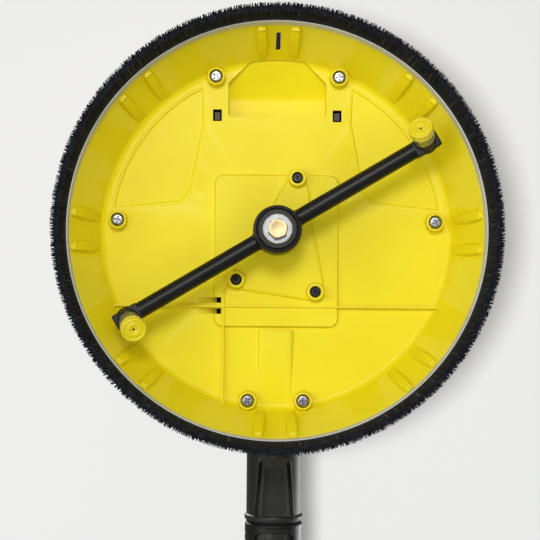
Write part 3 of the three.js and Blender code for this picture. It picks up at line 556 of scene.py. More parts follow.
coverScrews = [middleOf(f"cover_screw_{k}") for k in range(1, 7)]
housingScrews = [middleOf(f"housing_screw_{k}") for k in range(1, 4)]


def hoodFace(grow, base, fillet=5.0):
    radius, height = rimRadius + grow, hoodSize["height"] + grow
    return rounded([
        (0, base), (radius, base), (radius, hoodSize["rimHeight"]),
        (topRadius + grow, height, fillet + grow), (0, height),
    ], 10)


def shoulder(inset):
    edge = topRadius - 4 - inset
    start, stop = math.atan2(-96, 47 + inset), math.atan2(-15 - inset, edge)
    steps = 24
    arc = [(edge * math.cos(start + (stop - start) * k / steps),
            edge * math.sin(start + (stop - start) * k / steps)) for k in range(steps + 1)]
    return rounded([*arc, (62 + inset, -19.5 - inset, 5), (56 + inset, -27 - inset, 4),
                    (52.5 + inset, -48), (47.5 + inset, -75)])


def pocketPlan(grow):
    half, front = hoodSize["pocketHalf"] + grow, hoodSize["pocketFrontHalf"] + grow
    diagonal = pocketFront + 17 - grow
    return rounded([
        (-front, pocketFront - grow, 5), (front, pocketFront - grow, 5), (half, diagonal, 5),
        (half, pocketBack + grow, 2.5), (-half, pocketBack + grow, 2.5), (-half, diagonal, 5),
    ])


def pocketSpace(grow, low, soft=0.0):
    ceiling = hoodSize["height"] + hoodSize["pocketRise"] + grow
    far = pocketFront - 2 * grow - 1
    side = rounded([
        (far, low), (pocketBack + 2 * grow, low), (pocketBack + 2 * grow, ceiling),
        (pocketBack - hoodSize["pocketFlat"], ceiling, 8),
        (pocketFront + 3.5, hoodSize["height"] + grow + 1.2, 12),
        (far - 2, hoodSize["height"] + grow - 0.6),
    ])
    wide = hoodSize["pocketHalf"] + 2 * grow
    wedge = moved(prism(side, -wide, wide), spin(90, "X"), spin(90, "Z"))
    space = common(prism(pocketPlan(grow), low, ceiling + 2 * grow + 1), wedge)
    return softened(space, soft, 4, 30) if soft else space


def troughSpace(grow):
    low = -15.5 - grow
    section = rounded([(-10 - grow / 2, low, 3), (10 + grow / 2, low, 3),
                       (13.6 + grow, 6), (-13.6 - grow, 6)])
    run = moved(prism(section, 12 - grow, 110), spin(90, "X"), Matrix.Diagonal((1, -1, 1, 1)))
    return moved(run, spin(restTilt, "X"), shift(*pivot))


# Rib between the rim and the wall, deepest half way along; its sides spread towards the wall.
def gusset(degrees):
    size, base = hoodSize["gusset"], hoodSize["rimHeight"]
    slope = hoodSize["lean"] / (hoodSize["height"] - base)
    outlines, places = [], []
    steps = 14
    for k in range(steps + 1):
        share = k / steps
        radius = rimRadius + 0.6 - size["length"] * share
        wallAt = base + max(rimRadius - radius, 0) / slope
        depth = size["depth"] * math.sin(math.pi * min(share, 0.985)) ** 0.7 + 0.2
        half = size["half"]
        foot = half + size["draft"] * depth
        outlines.append(rounded([(-half, wallAt - depth, 0.9), (half, wallAt - depth, 0.9),
                                 (foot, wallAt + 1.2), (-foot, wallAt + 1.2)], 4))
        places.append(radius)
    # Outlines hold (across, height) and their places are radii, so the axes are swapped round.
    axes = Matrix(((0, 0, 1, 0), (1, 0, 0, 0), (0, 1, 0, 0), (0, 0, 0, 1)))
    return moved(lofted(outlines, places), axes, spin(degrees))


# Thin lip with a pointed tab where a rib meets the rim.
def nib(degrees):
    base, edge = hoodSize["rimHeight"], rimRadius
    outline = [(edge - 3.4, -2.6), (edge - 2.2, -2.6), (edge - 1.7, -0.9), (edge - 0.1, -0.5),
               (edge - 0.1, 0.5), (edge - 1.7, 0.9), (edge - 2.2, 2.6), (edge - 3.4, 2.6)]
    return moved(softened(prism(outline, base - 1.2, base + 1.5), 0.3, 2), spin(degrees))


# Triangle with round corners about the three housing screws.
def housingPlan(radius):
    middle = sum(((s.x + 0j) + s.y * 1j for s in housingScrews), 0j) / 3
    points = []
    steps = 8
    for screw in (housingScrews[0], housingScrews[2], housingScrews[1]):
        heading = math.atan2(screw.y - middle.imag, screw.x - middle.real)
        for k in range(-steps, steps + 1):
            turn = heading + k * math.pi / 3 / steps
            points.append((screw.x + radius * math.cos(turn), screw.y + radius * math.sin(turn)))
    return points


def boss(radius, low, high):
    return turned([(0, low), (radius - 1.1, low), (radius - 0.5, low + 0.2), (radius - 0.1, low + 0.8),
                   (radius + 0.5, high), (0, high)], 48)


def screwHole(headRadius, low, high):
    seat = turned([(0, low - 1), (headRadius + 0.8, low - 1), (headRadius + 0.4, low + 0.7),
                   (headRadius + 0.3, low + 3.6), (0, low + 3.6)], 48)
    return [seat, rod(2.05, low, high, 24)]


def makeHood():
    size = hoodSize
    rim, high, lip = size["rimHeight"], size["height"], size["rimHeight"] - size["lip"]
    outside = turned(hoodFace(size["wall"], rim))
    inside = turned(hoodFace(0, rim - 1))
    flange = turned(rounded([
        (rimRadius + 0.5, rim), (channelOuter + 0.3, rim), (channelOuter + 0.3, lip),
        (flangeRadius, lip, 0.6), (flangeRadius, rim + size["flangeThick"], 2),
        (rimRadius + 0.5, rim + size["flangeThick"]),
    ]))
    body = joined(outside, flange)
    tops, unders = [], []
    for outer in (shoulder(0), mirrored(shoulder(0))):
        tops.append(softened(prism(outer, high + 1, hoodTop + size["shoulderRise"]), 1.2, 3, 40))
    for flip in (list, mirrored):
        edges = [flip(shoulder(inset)) for inset in (0.2, 0.2, 1.4, 2.2, 3.2)]
        unders.append(lofted(edges, [high - 1, high, high + 0.5, high + 0.5, high + 1.5]))
    body = joined(body, *tops, pocketSpace(size["wall"], high + 0.5))
    body = cut(body, inside, pocketSpace(0, high - 2, 1.4), *unders)

    half, front, back = size["bed"]
    bedUnder = high - size["bedDepth"]
    plateUnder = bedUnder - size["plateDepth"]
    bedLow = rectangle(-half + 0.8, half - 0.8, front + 0.8, back - 0.8, 5)
    bed = lofted([bedLow, rectangle(-half, half, front, back, 6), rectangle(-half, half, front, back, 6)],
                 [bedUnder, bedUnder + 1.2, high + 1])
    recess = lofted([rectangle(2.6 - half, half - 2.6, front + 2.6, back - 2.6, 4)] * 2,
                    [hoodTop - size["bedDepth"], hoodTop + 5])
    plate = lofted([housingPlan(5.9), housingPlan(6.5), housingPlan(6.5)],
                   [plateUnder, plateUnder + 0.6, high + 0.5])
    seat = prism(housingPlan(9.1), high - 2, high + 0.5)

    def ribReach(across):
        return math.sqrt((topRadius + 2.4) ** 2 - across ** 2)
    thick = size["ribThick"] / 2
    ribY, ribX = size["longRibY"], size["crossRibX"]
    longRib = softened(block(-ribReach(ribY), ribReach(ribY), ribY - thick, ribY + thick,
                             bedUnder - 1.8, high + 0.5), 0.35, 2)
    crossRib = softened(block(ribX - thick, ribX + thick, 39, ribReach(ribX),
                              bedUnder - 1.8, high + 0.5), 0.35, 2)
    leftScrew = housingScrews[1]
    bend = [(ribX, 41, 0), (ribX + 0.6, 38.4, 0), (ribX + 2.4, 36.2, 0),
            (leftScrew.x - 3, leftScrew.y + 2.6, 0)]
    linkRib = moved(tubeAlong(curved(bend, 6), 0.7, 8), Matrix.Diagonal((1, 1, 3.5, 1)),
                    shift(0, 0, bedUnder - 0.4))
    # Thin webs from the plate's corners out to the bed's edge.
    webs = []
    for x0, y0, x1, y1 in ((32, 41.2, 42, 43.2), (-32.4, 30.2, -41.8, 28.6)):
        run = [(x0, y0, bedUnder - 0.2), ((x0 + x1) / 2, (y0 + y1) / 2, bedUnder - 0.1), (x1, y1, bedUnder)]
        webs.append(tubeAlong(run, 0.7, 8))
    # Raised edge on the plate's three sides.
    corners = [housingScrews[k] for k in (0, 2, 1)]
    for k in range(3):
        a, b = corners[k], corners[(k + 1) % 3]
        along = Vector((b.x - a.x, b.y - a.y)).normalized()
        side = Vector((along.y, -along.x)) * 5.2
        run = [(a.x + side.x + along.x * s, a.y + side.y + along.y * s, plateUnder + 0.1)
               for s in (3, (b - a).length / 2, (b - a).length - 3)]
        webs.append(tubeAlong(run, 0.65, 8))

    gussets, nibs = [], []
    for pair in range(size["gussetPairs"]):
        for side in (-1, 1):
            turn = pair * 360 / size["gussetPairs"] + side * size["gussetHalfAngle"]
            gussets.append(gusset(turn))
            nibs.append(nib(turn))
    trough = common(troughSpace(2.4), turned(hoodFace(0.5, rim)))
    bosses = [moved(boss(size["bossRadius"], high - size["bossHeight"], high + 1), shift(s.x, s.y))
              for s in coverScrews]
    bosses += [moved(boss(6.0, plateUnder - 5, bedUnder + 1), shift(s.x, s.y)) for s in housingScrews]
    rampHouse = block(-54.5, 2 - half, 42, 55.5, high + 0.5, hoodTop + 8)
    body = joined(body, rampHouse, bed, plate, seat, trough, longRib, crossRib, linkRib,
                  *webs, *gussets, *nibs, *bosses)
    tools = [recess, prism(housingPlan(7.8), hoodTop - size["bedDepth"], hoodTop + 5), troughSpace(0),
             rod(12, plateUnder - 5, hoodTop + 1), wallSlot()]
    for screw in coverScrews:
        tools += [moved(s, shift(screw.x, screw.y))
                  for s in screwHole(4.2, high - size["bossHeight"], high + 8)]
    for screw in housingScrews:
        tools += [moved(s, shift(screw.x, screw.y)) for s in screwHole(3.5, plateUnder - 5, hoodTop + 1)]
    for side in (-1, 1):
        hole = block(-3, 3, -4, 4, high - 2, hoodTop + 4)
        tools.append(moved(hole, shift(side * size["holeX"], pocketBack - 1)))
    ramp, deepEnd = size["ramp"], ribX - 1.5
    for y in ramp["places"]:  # two small ramps beside the long rib, each open at its deep end
        side = [(ramp["start"], bedUnder - 1), (deepEnd, bedUnder - 1),
                (deepEnd, hoodTop + ramp["rise"]), (ramp["start"], high)]
        tools.append(moved(prism(side, 0, ramp["width"]), spin(90, "X"), shift(0, y + ramp["width"])))
    return cut(body, *tools)


# Slot through the front wall, square to it.
def wallSlot():
    size = hoodSize
    lean = math.atan2(size["lean"], size["height"] - size["rimHeight"])
    height, half, long = size["slot"]
    made = block(-half, half, -6, 3, -long, long)
    inner = rimRadius - (height - size["rimHeight"]) * math.tan(lean)
    return moved(made, spin(-math.degrees(lean), "X"), shift(0, -inner, height))


hood = addPiece("hood_shell", makeHood(), "head", yellowPlastic, ["hood"])
print("hood:", len(hood.data.polygons), "faces")


# ---- bristle ring ----

def makeChannel():
    inner = rimRadius + 0.3
    low, top = channelBottom, channelTop
    return turned(rounded([
        (inner, top), (rimRadius + 1, low, 0.3), (rimRadius + 1.8, low), (rimRadius + 1.8, low + 6),
        (channelOuter - 0.8, low + 6), (channelOuter - 0.8, low), (channelOuter, low, 0.3),
        (channelOuter, top),
    ], 3), 240)


addPiece("bristle_channel", makeChannel(), "head", paleGreyPlastic, ["brush_channel"])

bristleSize = {
    "across": 1500, "rows": 7, "thick": 0.30, "inner": 2.1, "spread": 4.6, "band": 3.5,
    "ragged": 1.2, "bend": 0.4, "coreShort": 2.2,
}


def makeBristles():
    size = bristleSize
    rootInner, root = rimRadius + size["inner"], channelBottom + 4
    rnd = random.Random(5)
    points, faces = [], []
    clumps = [rnd.uniform(-1, 1) for _ in range(160)]
    for row in range(size["rows"]):
        share = row / (size["rows"] - 1)
        for k in range(size["across"]):
            turn = 2 * math.pi * (k + rnd.uniform(-0.45, 0.45)) / size["across"]
            clump = clumps[int(turn / 2 / math.pi * len(clumps)) % len(clumps)]
            start = rootInner + size["band"] * share
            reachOut = size["spread"] * (0.62 + 0.38 * share) + 0.2 * clump + rnd.gauss(0, 0.22)
            if rnd.random() < 0.03:
                reachOut += rnd.uniform(-0.4, 0.9)
            end = min(start + reachOut, tipRadius + 1.2)
            tip = rnd.uniform(0, size["ragged"]) + max(0, 0.5 * clump)
            lean = turn + rnd.gauss(0, 0.0035) + 0.003 * clump
            side = rnd.gauss(0, size["bend"] / 145)
            width = size["thick"] * rnd.uniform(0.8, 1.2)
            base = len(points)
            for step in range(3):
                s = step / 2
                radius = start + (end - start) * s ** 1.5
                height = root + (tip - root) * s
                angle = turn + (lean - turn) * s + side * s * (1 - s) * 2
                for corner in range(3):
                    c = 2 * math.pi * corner / 3 + k
                    across = width * math.cos(c) / radius
                    points.append(((radius + width * math.sin(c)) * math.cos(angle + across),
                                   (radius + width * math.sin(c)) * math.sin(angle + across), height))
            for step in range(2):
                for corner in range(3):
                    a, b = base + step * 3 + corner, base + step * 3 + (corner + 1) % 3
                    faces.append((a, b, b + 3, a + 3))
            faces.append((base + 8, base + 7, base + 6))
            faces.append((base, base + 1, base + 2))
    core = turned([
        (rootInner - 0.1, root + 1.5), (rootInner + size["band"] - 0.2, root + 1.5),
        (rootInner + size["band"] - 0.2, channelBottom), (tipRadius - 0.9, size["coreShort"]),
        (tipRadius - 4.4, size["coreShort"]), (rootInner - 0.1, channelBottom),
    ], 240)
    mesh = bpy.data.meshes.new("filaments")
    mesh.from_pydata(points, [], faces)
    return gathered([mesh, core])


bristles = addPiece("bristle_ring", makeBristles(), "head", bristleFinish(), ["bristle_skirt"])
print("bristles:", len(bristles.data.polygons), "faces")


# ---- screws ----

def crossRecess(low, width, depth):
    arms = []
    for degrees in (0, 90):
        outer = rectangle(-width, width, -0.42, 0.42)
        inner = rectangle(-width * 0.45, width * 0.45, -0.3, 0.3)
        arms.append(moved(lofted([outer, outer, inner], [low - 1, low, low + depth]), spin(degrees)))
    middle = turned([(0, low - 1), (1.15, low - 1), (1.15, low), (0.3, low + depth), (0, low + depth)], 24)
    return [*arms, middle]


def starRecess(low, radius, depth):
    outline = []
    for k in range(72):
        turn = 2 * math.pi * k / 72
        reachOut = radius * (0.87 + 0.13 * math.cos(6 * turn))
        outline.append((reachOut * math.cos(turn), reachOut * math.sin(turn)))
    return [lofted([outline, outline], [low - 1, low + depth])]


def makeScrew(low, tip, head, recess):
    body = turned(rounded([
        (0, low), (head - 0.5, low, 1.2), (head, low + 1.6, 0.3), (head, low + 2.6), (1.75, low + 2.6),
        (1.75, tip - 1.5), (0, tip),
    ], 4), 40)
    if len(recess) == 1:  # the star's raised collar
        body = joined(body, turned([(1.9, low - 0.25), (2.3, low - 0.25), (2.5, low + 0.5),
                                    (1.7, low + 0.5)], 40))
    return cut(body, *recess)


for number, screw in enumerate(coverScrews):
    low, high = cadBox(f"cover_screw_{number + 1}")
    shape = makeScrew(low.z, high.z, 4.15, crossRecess(low.z, 2.5, 1.5))
    turn = (38, 84, 12, 60, 52, 88)[number]
    addFine(f"cover_screw_{number + 1}", moved(shape, spin(turn), shift(screw.x, screw.y)), "head",
            zincFinish)
for number, screw in enumerate(housingScrews):
    low, high = cadBox(f"housing_screw_{number + 1}")
    shape = makeScrew(low.z, high.z, 3.45, starRecess(low.z, 1.75, 1.6))
    addFine(f"housing_screw_{number + 1}", moved(shape, spin(20 * number), shift(screw.x, screw.y)), "head",
            blackSteelFinish)
print("screws made")


# ---- rotor ----

rotorSize = {
    "angle": -30.8, "armRadius": 5.5, "armHeight": 25, "hub": 16.1, "shaft": 6, "nozzleTilt": 33,
    "nozzleReach": 19, "cap": 8.3, "wallGap": 22.6,
}
rotorFrame = spin(rotorSize["angle"])
nozzleRadius = rimRadius - rotorSize["wallGap"]
holderFrames = [rotorFrame @ spin(turn) @ shift(nozzleRadius, 0, rotorSize["armHeight"])
                @ spin(-rotorSize["nozzleTilt"], "X") for turn in (0, 180)]


def makeRotorArm():
    size = rotorSize
    hub, height, bore = size["hub"], size["armHeight"], size["shaft"] + 0.3
    top = armHigh - 10
    # The hub is a bowl with a step inside its rim and a raised collar round the washer.
    middle = turned(rounded([
        (bore, armLow), (12.6, armLow, 0.4), (12.8, armLow + 2.0), (13.4, armLow + 2.6, 0.5),
        (14.0, armLow + 1.1, 0.6), (hub - 0.7, armLow + 1.6, 0.8), (hub, armLow + 4.6, 1.2),
        (hub, top - 4), (hub - 4, top, 1.5), (10.5, top + 1), (10.5, top + 10), (bore, top + 10),
    ], 5), 96)
    flare = softened(prism(rounded([
        (0, 5 - hub), (hub + 2, 0.6 - size["armRadius"], 5), (hub + 22, 0.2 - size["armRadius"]),
        (hub + 22, size["armRadius"] - 0.2), (hub + 2, size["armRadius"] - 0.6, 5),
        (0, hub - 5), (-hub - 2, size["armRadius"] - 0.6, 5), (-hub - 22, size["armRadius"] - 0.2),
        (-hub - 22, 0.2 - size["armRadius"]), (-hub - 2, 0.6 - size["armRadius"], 5),
    ], 6), height - 3.6, height + 3.6), 1.0, 3, 40)
    tube = moved(rod(size["armRadius"], -nozzleRadius, nozzleRadius, 56), alongX, shift(0, 0, height))
    ends, spaces = [], []
    for turn in (0, 180):
        end = softened(block(nozzleRadius - 9.5, nozzleRadius + 9, -5, 5.8, height - 5.6, height + 7), 1.1, 3)
        cup = turned([(0, -6.2), (7.2, -6.2), (7.7, -5.7), (7.7, 1.2), (7.2, 2), (0, 2)], 48)
        tilt = [spin(-size["nozzleTilt"], "X"), shift(nozzleRadius, 0, height), spin(turn)]
        ends += [moved(end, spin(turn)), moved(cup, *tilt)]
        spaces += [moved(rod(5.8, -8, 3), *tilt), moved(rod(size["cap"], -16, -6.2), *tilt)]
    shell = cut(joined(tube, flare, *ends), rod(hub - 2, height - 9, height + 9), *spaces)
    return cut(joined(middle, shell), rod(bore, armLow - 1, armHigh + 1))


addFine("rotor_arm", makeRotorArm(), "rotor", blackPlastic, rotorFrame)

washerLow, washerHigh = cadBox("hub_washer")[0].z, cadBox("hub_washer")[1].z
notch = block(9.3, 11, -0.9, 0.9, washerLow - 1, washerHigh + 1)
washer = turned(rounded([(3.6, washerLow), (9.5, washerLow, 0.3), (10.1, washerLow + 0.7, 0.2),
                         (10.1, washerHigh), (3.6, washerHigh)], 3), 96)
addFine("hub_washer", cut(washer, moved(notch, spin(56))), "rotor", steelFinish,
        rotorFrame)

boltLow, boltHigh = cadBox("hub_bolt")[0].z, cadBox("hub_bolt")[1].z
hexagon = [(6.9 * math.cos(math.pi * k / 3), 6.9 * math.sin(math.pi * k / 3)) for k in range(6)]
boltHead = common(softened(prism(hexagon, boltLow, washerLow - 0.3), 0.25, 2),
                  turned([(0, boltLow), (6.0, boltLow), (7.0, boltLow + 0.7), (7.0, washerLow),
                          (0, washerLow)], 96))
boltShank = rod(3, washerLow - 1, boltHigh, 32)
dish = turned([(0, boltLow - 1), (4.6, boltLow - 1), (4.6, boltLow), (4.2, boltLow + 0.2),
               (0, boltLow + 0.25)], 48)
addFine("hub_bolt", cut(joined(boltHead, boltShank), dish), "rotor", brassFinish,
        rotorFrame @ spin(12))


def makeNozzleCap():
    low = -rotorSize["nozzleReach"]
    top, edge = low + 5.6, rotorSize["cap"]
    profile = rounded([
        (1.0, low + 1.3), (1.7, low + 0.9, 0.2), (2.6, low + 0.9, 0.2), (3.0, low + 0.35, 0.2),
        (5.3, low + 0.35, 0.2), (5.8, low + 0.85, 0.2), (6.6, low + 0.85, 0.2), (7.0, low + 0.1, 0.2),
        (edge - 0.3, low + 0.1, 0.5),
        (edge, low + 1.2, 0.3), (edge, top), (5.7, top), (5.7, low + 2.1), (1.0, low + 2.1),
    ], 3)
    cap = turned(profile, 72)
    grooves = [moved(rod(0.5, low + 1.6, top + 1, 10), shift(edge + 0.15, 0), spin(k * 20))
               for k in range(18)]
    marks = [moved(block(3.9, 6.2, -0.35, 0.35, low - 0.5, low + 0.75), spin(k * 90 + 45))
             for k in range(4)]
    return cut(cap, *grooves, *marks)


def makeNozzleBody():
    low = -rotorSize["nozzleReach"]
    top = low + 5.9
    return turned(rounded([
        (0.6, low + 2.4), (5.4, low + 2.4), (5.4, top), (7.5, top, 0.3), (7.5, -6.5, 0.3), (5.5, -6.5),
        (5.5, 2), (1.6, 2), (1.6, low + 6), (0.6, low + 5),
    ], 3), 64)


for number, holder in enumerate(holderFrames, 1):
    addFine(f"nozzle_body_{number}", makeNozzleBody(), "rotor", steelFinish, holder)
    addFine(f"nozzle_cap_{number}", makeNozzleCap(), "rotor", capPlastic, holder)
print("rotor made")


# ---- neck ----

neckSize = {
    "barrel": 12, "barrelHalf": 16.5, "root": 14, "outer": 18.65, "flare": 91.6, "collar": 19.9,
    "collarLength": 4.2,
    # each from where it starts to the collar, with its half widths at the start and the end
    "raised": (95.5, 8.2, 11.0), "panel": (102.0, 6.4, 8.1), "slots": (98.2, 8.3, 11.2),
}
neckEnd = reach("neck")[1]


def makeNeck():
    size = neckSize
    outer, collar, length = size["outer"], size["collar"], neckEnd
    collarStart = length - size["collarLength"]
    barrel = softened(moved(rod(size["barrel"], -size["barrelHalf"], size["barrelHalf"], 64), alongX), 0.8, 3)
    shaft = turnedAlongY([
        (0, 0), (10.5, 0), (10.5, 14, 2), (size["root"], 22, 6), (size["root"], size["flare"] - 22, 20),
        (outer, size["flare"], 20), (outer, collarStart - 0.6, 0.4), (collar - 0.5, collarStart, 0.4),
        (collar, collarStart + 1.0, 0.6), (collar, length - 1.4, 0.8), (collar - 1.1, length, 0.6),
        (0, length),
    ], 8)
    body = joined(barrel, shaft)
    under = -outer
    # A raised block on the underside, with a rounded edge, that the panel is sunk into.
    start, narrow, wide = size["raised"]
    end = collarStart - 0.6
    raised = rounded([(-narrow - 3, start, 3), (narrow + 3, start, 3), (wide + 2.6, end), (-wide - 2.6, end)])
    body = joined(body, softened(prism(raised, under - 0.35, under + 6), 0.7, 3, 40))
    start, narrow, wide = size["panel"]
    panel = prism(rounded([(-narrow, start, 1), (narrow, start, 1), (wide, end - 0.4, 2.5),
                           (-wide, end - 0.4, 2.5)]), under - 2, under + 1.2)
    step = prism(rounded([(-narrow + 1.6, start + 1.6, 1), (narrow - 1.6, start + 1.6, 1),
                          (wide - 2, end - 2, 2), (-wide + 2, end - 2, 2)]), under - 2, under + 2.0)
    start, narrow, wide = size["slots"]
    slot = rounded([(narrow - 0.3, start, 0.8), (narrow + 2.0, start, 0.8), (wide + 2.1, end - 0.6, 0.9),
                    (wide - 0.3, end - 0.6, 0.9)])
    slots = [prism(points, under - 2, under + 6.5) for points in (slot, mirrored(slot))]
    ways = [moved(rod(5.3, 14, length + 1), alongY), moved(rod(3.4, -1, 20), alongY),
            moved(rod(6.3, -size["barrelHalf"] - 1, size["barrelHalf"] + 1), alongX),
            moved(rod(10, length - 12, length + 1), alongY)]
    return cut(body, softened(panel, 0.6, 3, 40), step, *slots, *ways)


addFine("neck", makeNeck(), "lance", anthracitePlastic, neckFrame)

# The window is half its width, its length, and how far it starts from the coupling's front edge.
couplingSize = {"radius": 19.6, "window": (13, 34, 5), "socket": 13.4, "tube": 15}
couplingStart, couplingEnd = reach("coupling")


def windowPlan(inset):
    half, length, front = couplingSize["window"]
    start = couplingStart + front
    return rectangle(inset - half, half - inset, start + inset, start + length - inset, 5 - inset)


def makeCoupling():
    size = couplingSize
    radius, start, end = size["radius"], couplingStart, couplingEnd
    sleeve = turnedAlongY([
        (5.3, start), (radius - 0.9, start, 0.3), (radius, start + 1.2, 0.8), (radius, end - 12, 6),
        (size["tube"] + 2, end, 0.8), (size["socket"], end), (size["socket"], start + 3), (5.3, start + 3),
    ], 5)
    raised = turnedAlongY(rectangle(radius - 2, radius + 0.35, start, end - 14))
    rim = softened(common(raised, prism(windowPlan(-2.2), -radius - 3, 0)), 0.3, 2)
    tools = [softened(prism(windowPlan(0), -radius - 2, -6.9), 0.4, 2, 40)]
    front = size["window"][2]
    for side in (1, -1):
        for k in range(7):  # finger grooves on both flanks
            groove = moved(rod(1.0, -6, 6, 20), shift(radius + 0.35, start + front + 3 + k * 4.6))
            tools.append(groove if side == 1 else moved(groove, flipX))
    return cut(joined(sleeve, rim), *tools)


addFine("coupling", makeCoupling(), "lance", blackPlastic, neckFrame)


def makeButton():
    radius = couplingSize["radius"] - 2.4
    length, front = couplingSize["window"][1:]
    start, end = couplingStart + front, couplingStart + front + length
    shell = turnedAlongY(rectangle(radius - 1.6, radius, start - 5, end + 5))
    pad = softened(common(shell, prism(windowPlan(0.7), -radius - 3, -11)), 0.35, 3, 40)
    ridges = []
    for k in range(4):
        y = end - 8 - 4 * k
        ridges.append(softened(block(-7, 7, y - 0.7, y + 0.7, -radius - 0.9, -radius + 1), 0.4, 3))
    return joined(pad, *ridges)


addFine("release_button", makeButton(), "button", anthracitePlastic, neckFrame)


# ---- extension tube and inlet ----

tubeSize = {"radius": 15, "wall": 2.4}


def makeTube():
    start, end = reach("extension_tube")
    radius, wallThick = tubeSize["radius"], tubeSize["wall"]
    tube = turnedAlongY([
        (radius - wallThick, start), (radius + 1.6, start, 0.5), (radius + 1.6, start + 6, 0.6),
        (radius, start + 9, 2), (radius, end, 0.4), (radius - wallThick, end),
    ], 4)
    bead = turnedAlongY([(radius - 1, -0.9), (radius + 0.25, -0.9), (radius + 0.6, -0.3),
                         (radius + 0.6, 0.3), (radius + 0.25, 0.9), (radius - 1, 0.9)])
    beads = [moved(bead, shift(0, place)) for place in (start + 14, end - 14, end - 9)]
    flutes = [moved(rod(0.8, start + 24, end - 24, 12), alongY, shift(0, 0, radius + 0.35),
                    spin(k * 45, "Y")) for k in range(8)]
    return cut(joined(tube, *beads), *flutes)


addFine("extension_tube", makeTube(), "lance", blackPlastic, neckFrame)


def makeInlet():
    start, end = reach("inlet_connector")
    radius = tubeSize["radius"]
    body = turnedAlongY([
        (5, start), (radius + 2.4, start, 0.5), (radius + 3, start + 1.5, 0.8),
        (radius + 3, start + 17, 1.2), (radius - 1, start + 22, 2), (radius - 1, end, 0.6),
        (9.5, end), (9.5, start + 24), (5, start + 24),
    ], 5)
    lugs = [moved(softened(block(-4, 4, end - 9, end - 3, 11, radius + 2.2), 0.7, 3), spin(k * 180, "Y"))
            for k in (0, 1)]
    flutes = [moved(rod(1.5, start + 3, start + 15, 20), alongY, shift(0, 0, radius + 3.4),
                    spin(k * 36, "Y")) for k in range(10)]
    return cut(joined(body, *lugs), *flutes)


addFine("inlet_connector", makeInlet(), "lance", blackPlastic, neckFrame)
print("lance made")


# ---- top cover ----

coverSize = {"height": 34, "slotHalf": 17.5, "recess": (30, 28), "gripGap": 4, "hinge": 12, "groove": 6}


def crown(drop, edge):
    base = hoodTop - 8
    points = [(0, base), (edge, base)]
    steps = 28
    for k in range(steps, -1, -1):
        share = math.sin(k / steps * math.pi / 2)
        fall = (1 - share ** 3.2) ** 0.75 if k < steps else 0
        points.append((max(share * edge, 0), hoodTop + 0.3 + coverSize["height"] * fall - drop))
    return turned(points)


def coverPlan(inset):
    frontY = coverScrews[0].y
    edge = topRadius + 1 - inset
    backSteps, frontSteps = 40, 14
    wing = math.atan2(-13, edge)
    half = []
    for k in range(backSteps + 1):
        turn = math.pi / 2 + (wing - math.pi / 2) * k / backSteps
        half.append((edge * math.cos(turn), edge * math.sin(turn)))
    half += [(61 - inset, inset - 17.5, 6), (54.5 - inset, inset - 27, 4), (51 - inset, -48),
             (46 - inset, -75), (47.5 - inset, frontY, 5)]
    front = math.atan2(frontY - 6, 42 - inset)
    for k in range(frontSteps):
        turn = front + (-math.pi / 2 - front) * k / frontSteps
        half.append((edge * math.cos(turn), edge * math.sin(turn)))
    other = [(-p[0], *p[1:]) for p in reversed(half[1:])]
    return rounded([*half, (0, -edge), *other])


def recessPlan(grow):
    half, length = coverSize["recess"]
    start = pocketBack + hoodSize["wall"] + coverSize["gripGap"]
    return rectangle(-half - grow, half + grow, start - grow, start + length + grow, 6 + grow)


def makeCover():
    size, wallThick = coverSize, hoodSize["wall"]
    floorLine, ceiling = hoodTop + 0.3, hoodTop + size["height"] + 5
    slotHalf, slotFront = size["slotHalf"], pivot.y - 14

    def shell(inset, low):
        return common(crown(inset, topRadius + 1.5 - inset / 2), prism(coverPlan(inset), low, ceiling))

    def slotSpace(grow, low):
        plan = rectangle(-slotHalf - grow, slotHalf + grow, slotFront - grow, 290)
        return prism(plan, low, ceiling)
    recessFloor = hoodTop + 7
    recess = lofted([recessPlan(-2.2), recessPlan(-0.6), recessPlan(0), recessPlan(1.6)],
                    [recessFloor, recessFloor + 1.6, recessFloor + 6, ceiling])
    shoulders = [prism(plan, floorLine - 1, hoodTop + 2.3)
                 for plan in (shoulder(-1.4), mirrored(shoulder(-1.4)))]
    outer = cut(shell(0, floorLine), slotSpace(0, floorLine - 1), recess, *shoulders)
    inner = cut(shell(wallThick, floorLine - 1), slotSpace(wallThick, floorLine - 5),
                prism(recessPlan(wallThick), recessFloor - wallThick, ceiling))
    posts = [moved(rod(4.6, floorLine, ceiling, 24), shift(s.x, s.y)) for s in coverScrews]
    hingeBoss = moved(rod(size["hinge"], slotHalf, slotHalf + 11), alongX)
    posts += [moved(hingeBoss, shift(*pivot)), moved(hingeBoss, flipX, shift(*pivot))]
    within = shell(wallThick / 2, floorLine)
    cover = joined(cut(outer, inner), *[common(post, within) for post in posts])
    hooks = [moved(block(-1.8, 1.8, -2.6, 2.6, hoodTop + 1.5, ceiling),
                   shift(side * hoodSize["holeX"], pocketBack - 1)) for side in (-1, 1)]
    tools = [prism(housingPlan(7.8), floorLine - 1, hoodTop + 1.7),
             pocketSpace(wallThick + 0.3, floorLine - 1),
             moved(rod(6.3, -slotHalf - 12, slotHalf + 12), alongX, shift(*pivot))]
    tools += [moved(rod(2.05, floorLine - 1, floorLine + 5.5, 24), shift(s.x, s.y)) for s in coverScrews]
    cover = joined(cut(cover, *tools), *[common(hook, crown(1, topRadius)) for hook in hooks])
    # Shallow groove that follows the rim.
    near, far = topRadius - size["groove"] - 0.7, topRadius - size["groove"] + 0.7
    groove = turned([(near, hoodTop + 3), (far, hoodTop + 3), (far, 140), (near, 140)])
    return cut(cover, common(groove, cut(shell(-0.5, floorLine), shell(0.6, floorLine - 1))))


addFine("top_cover", makeCover(), "head", anthracitePlastic)


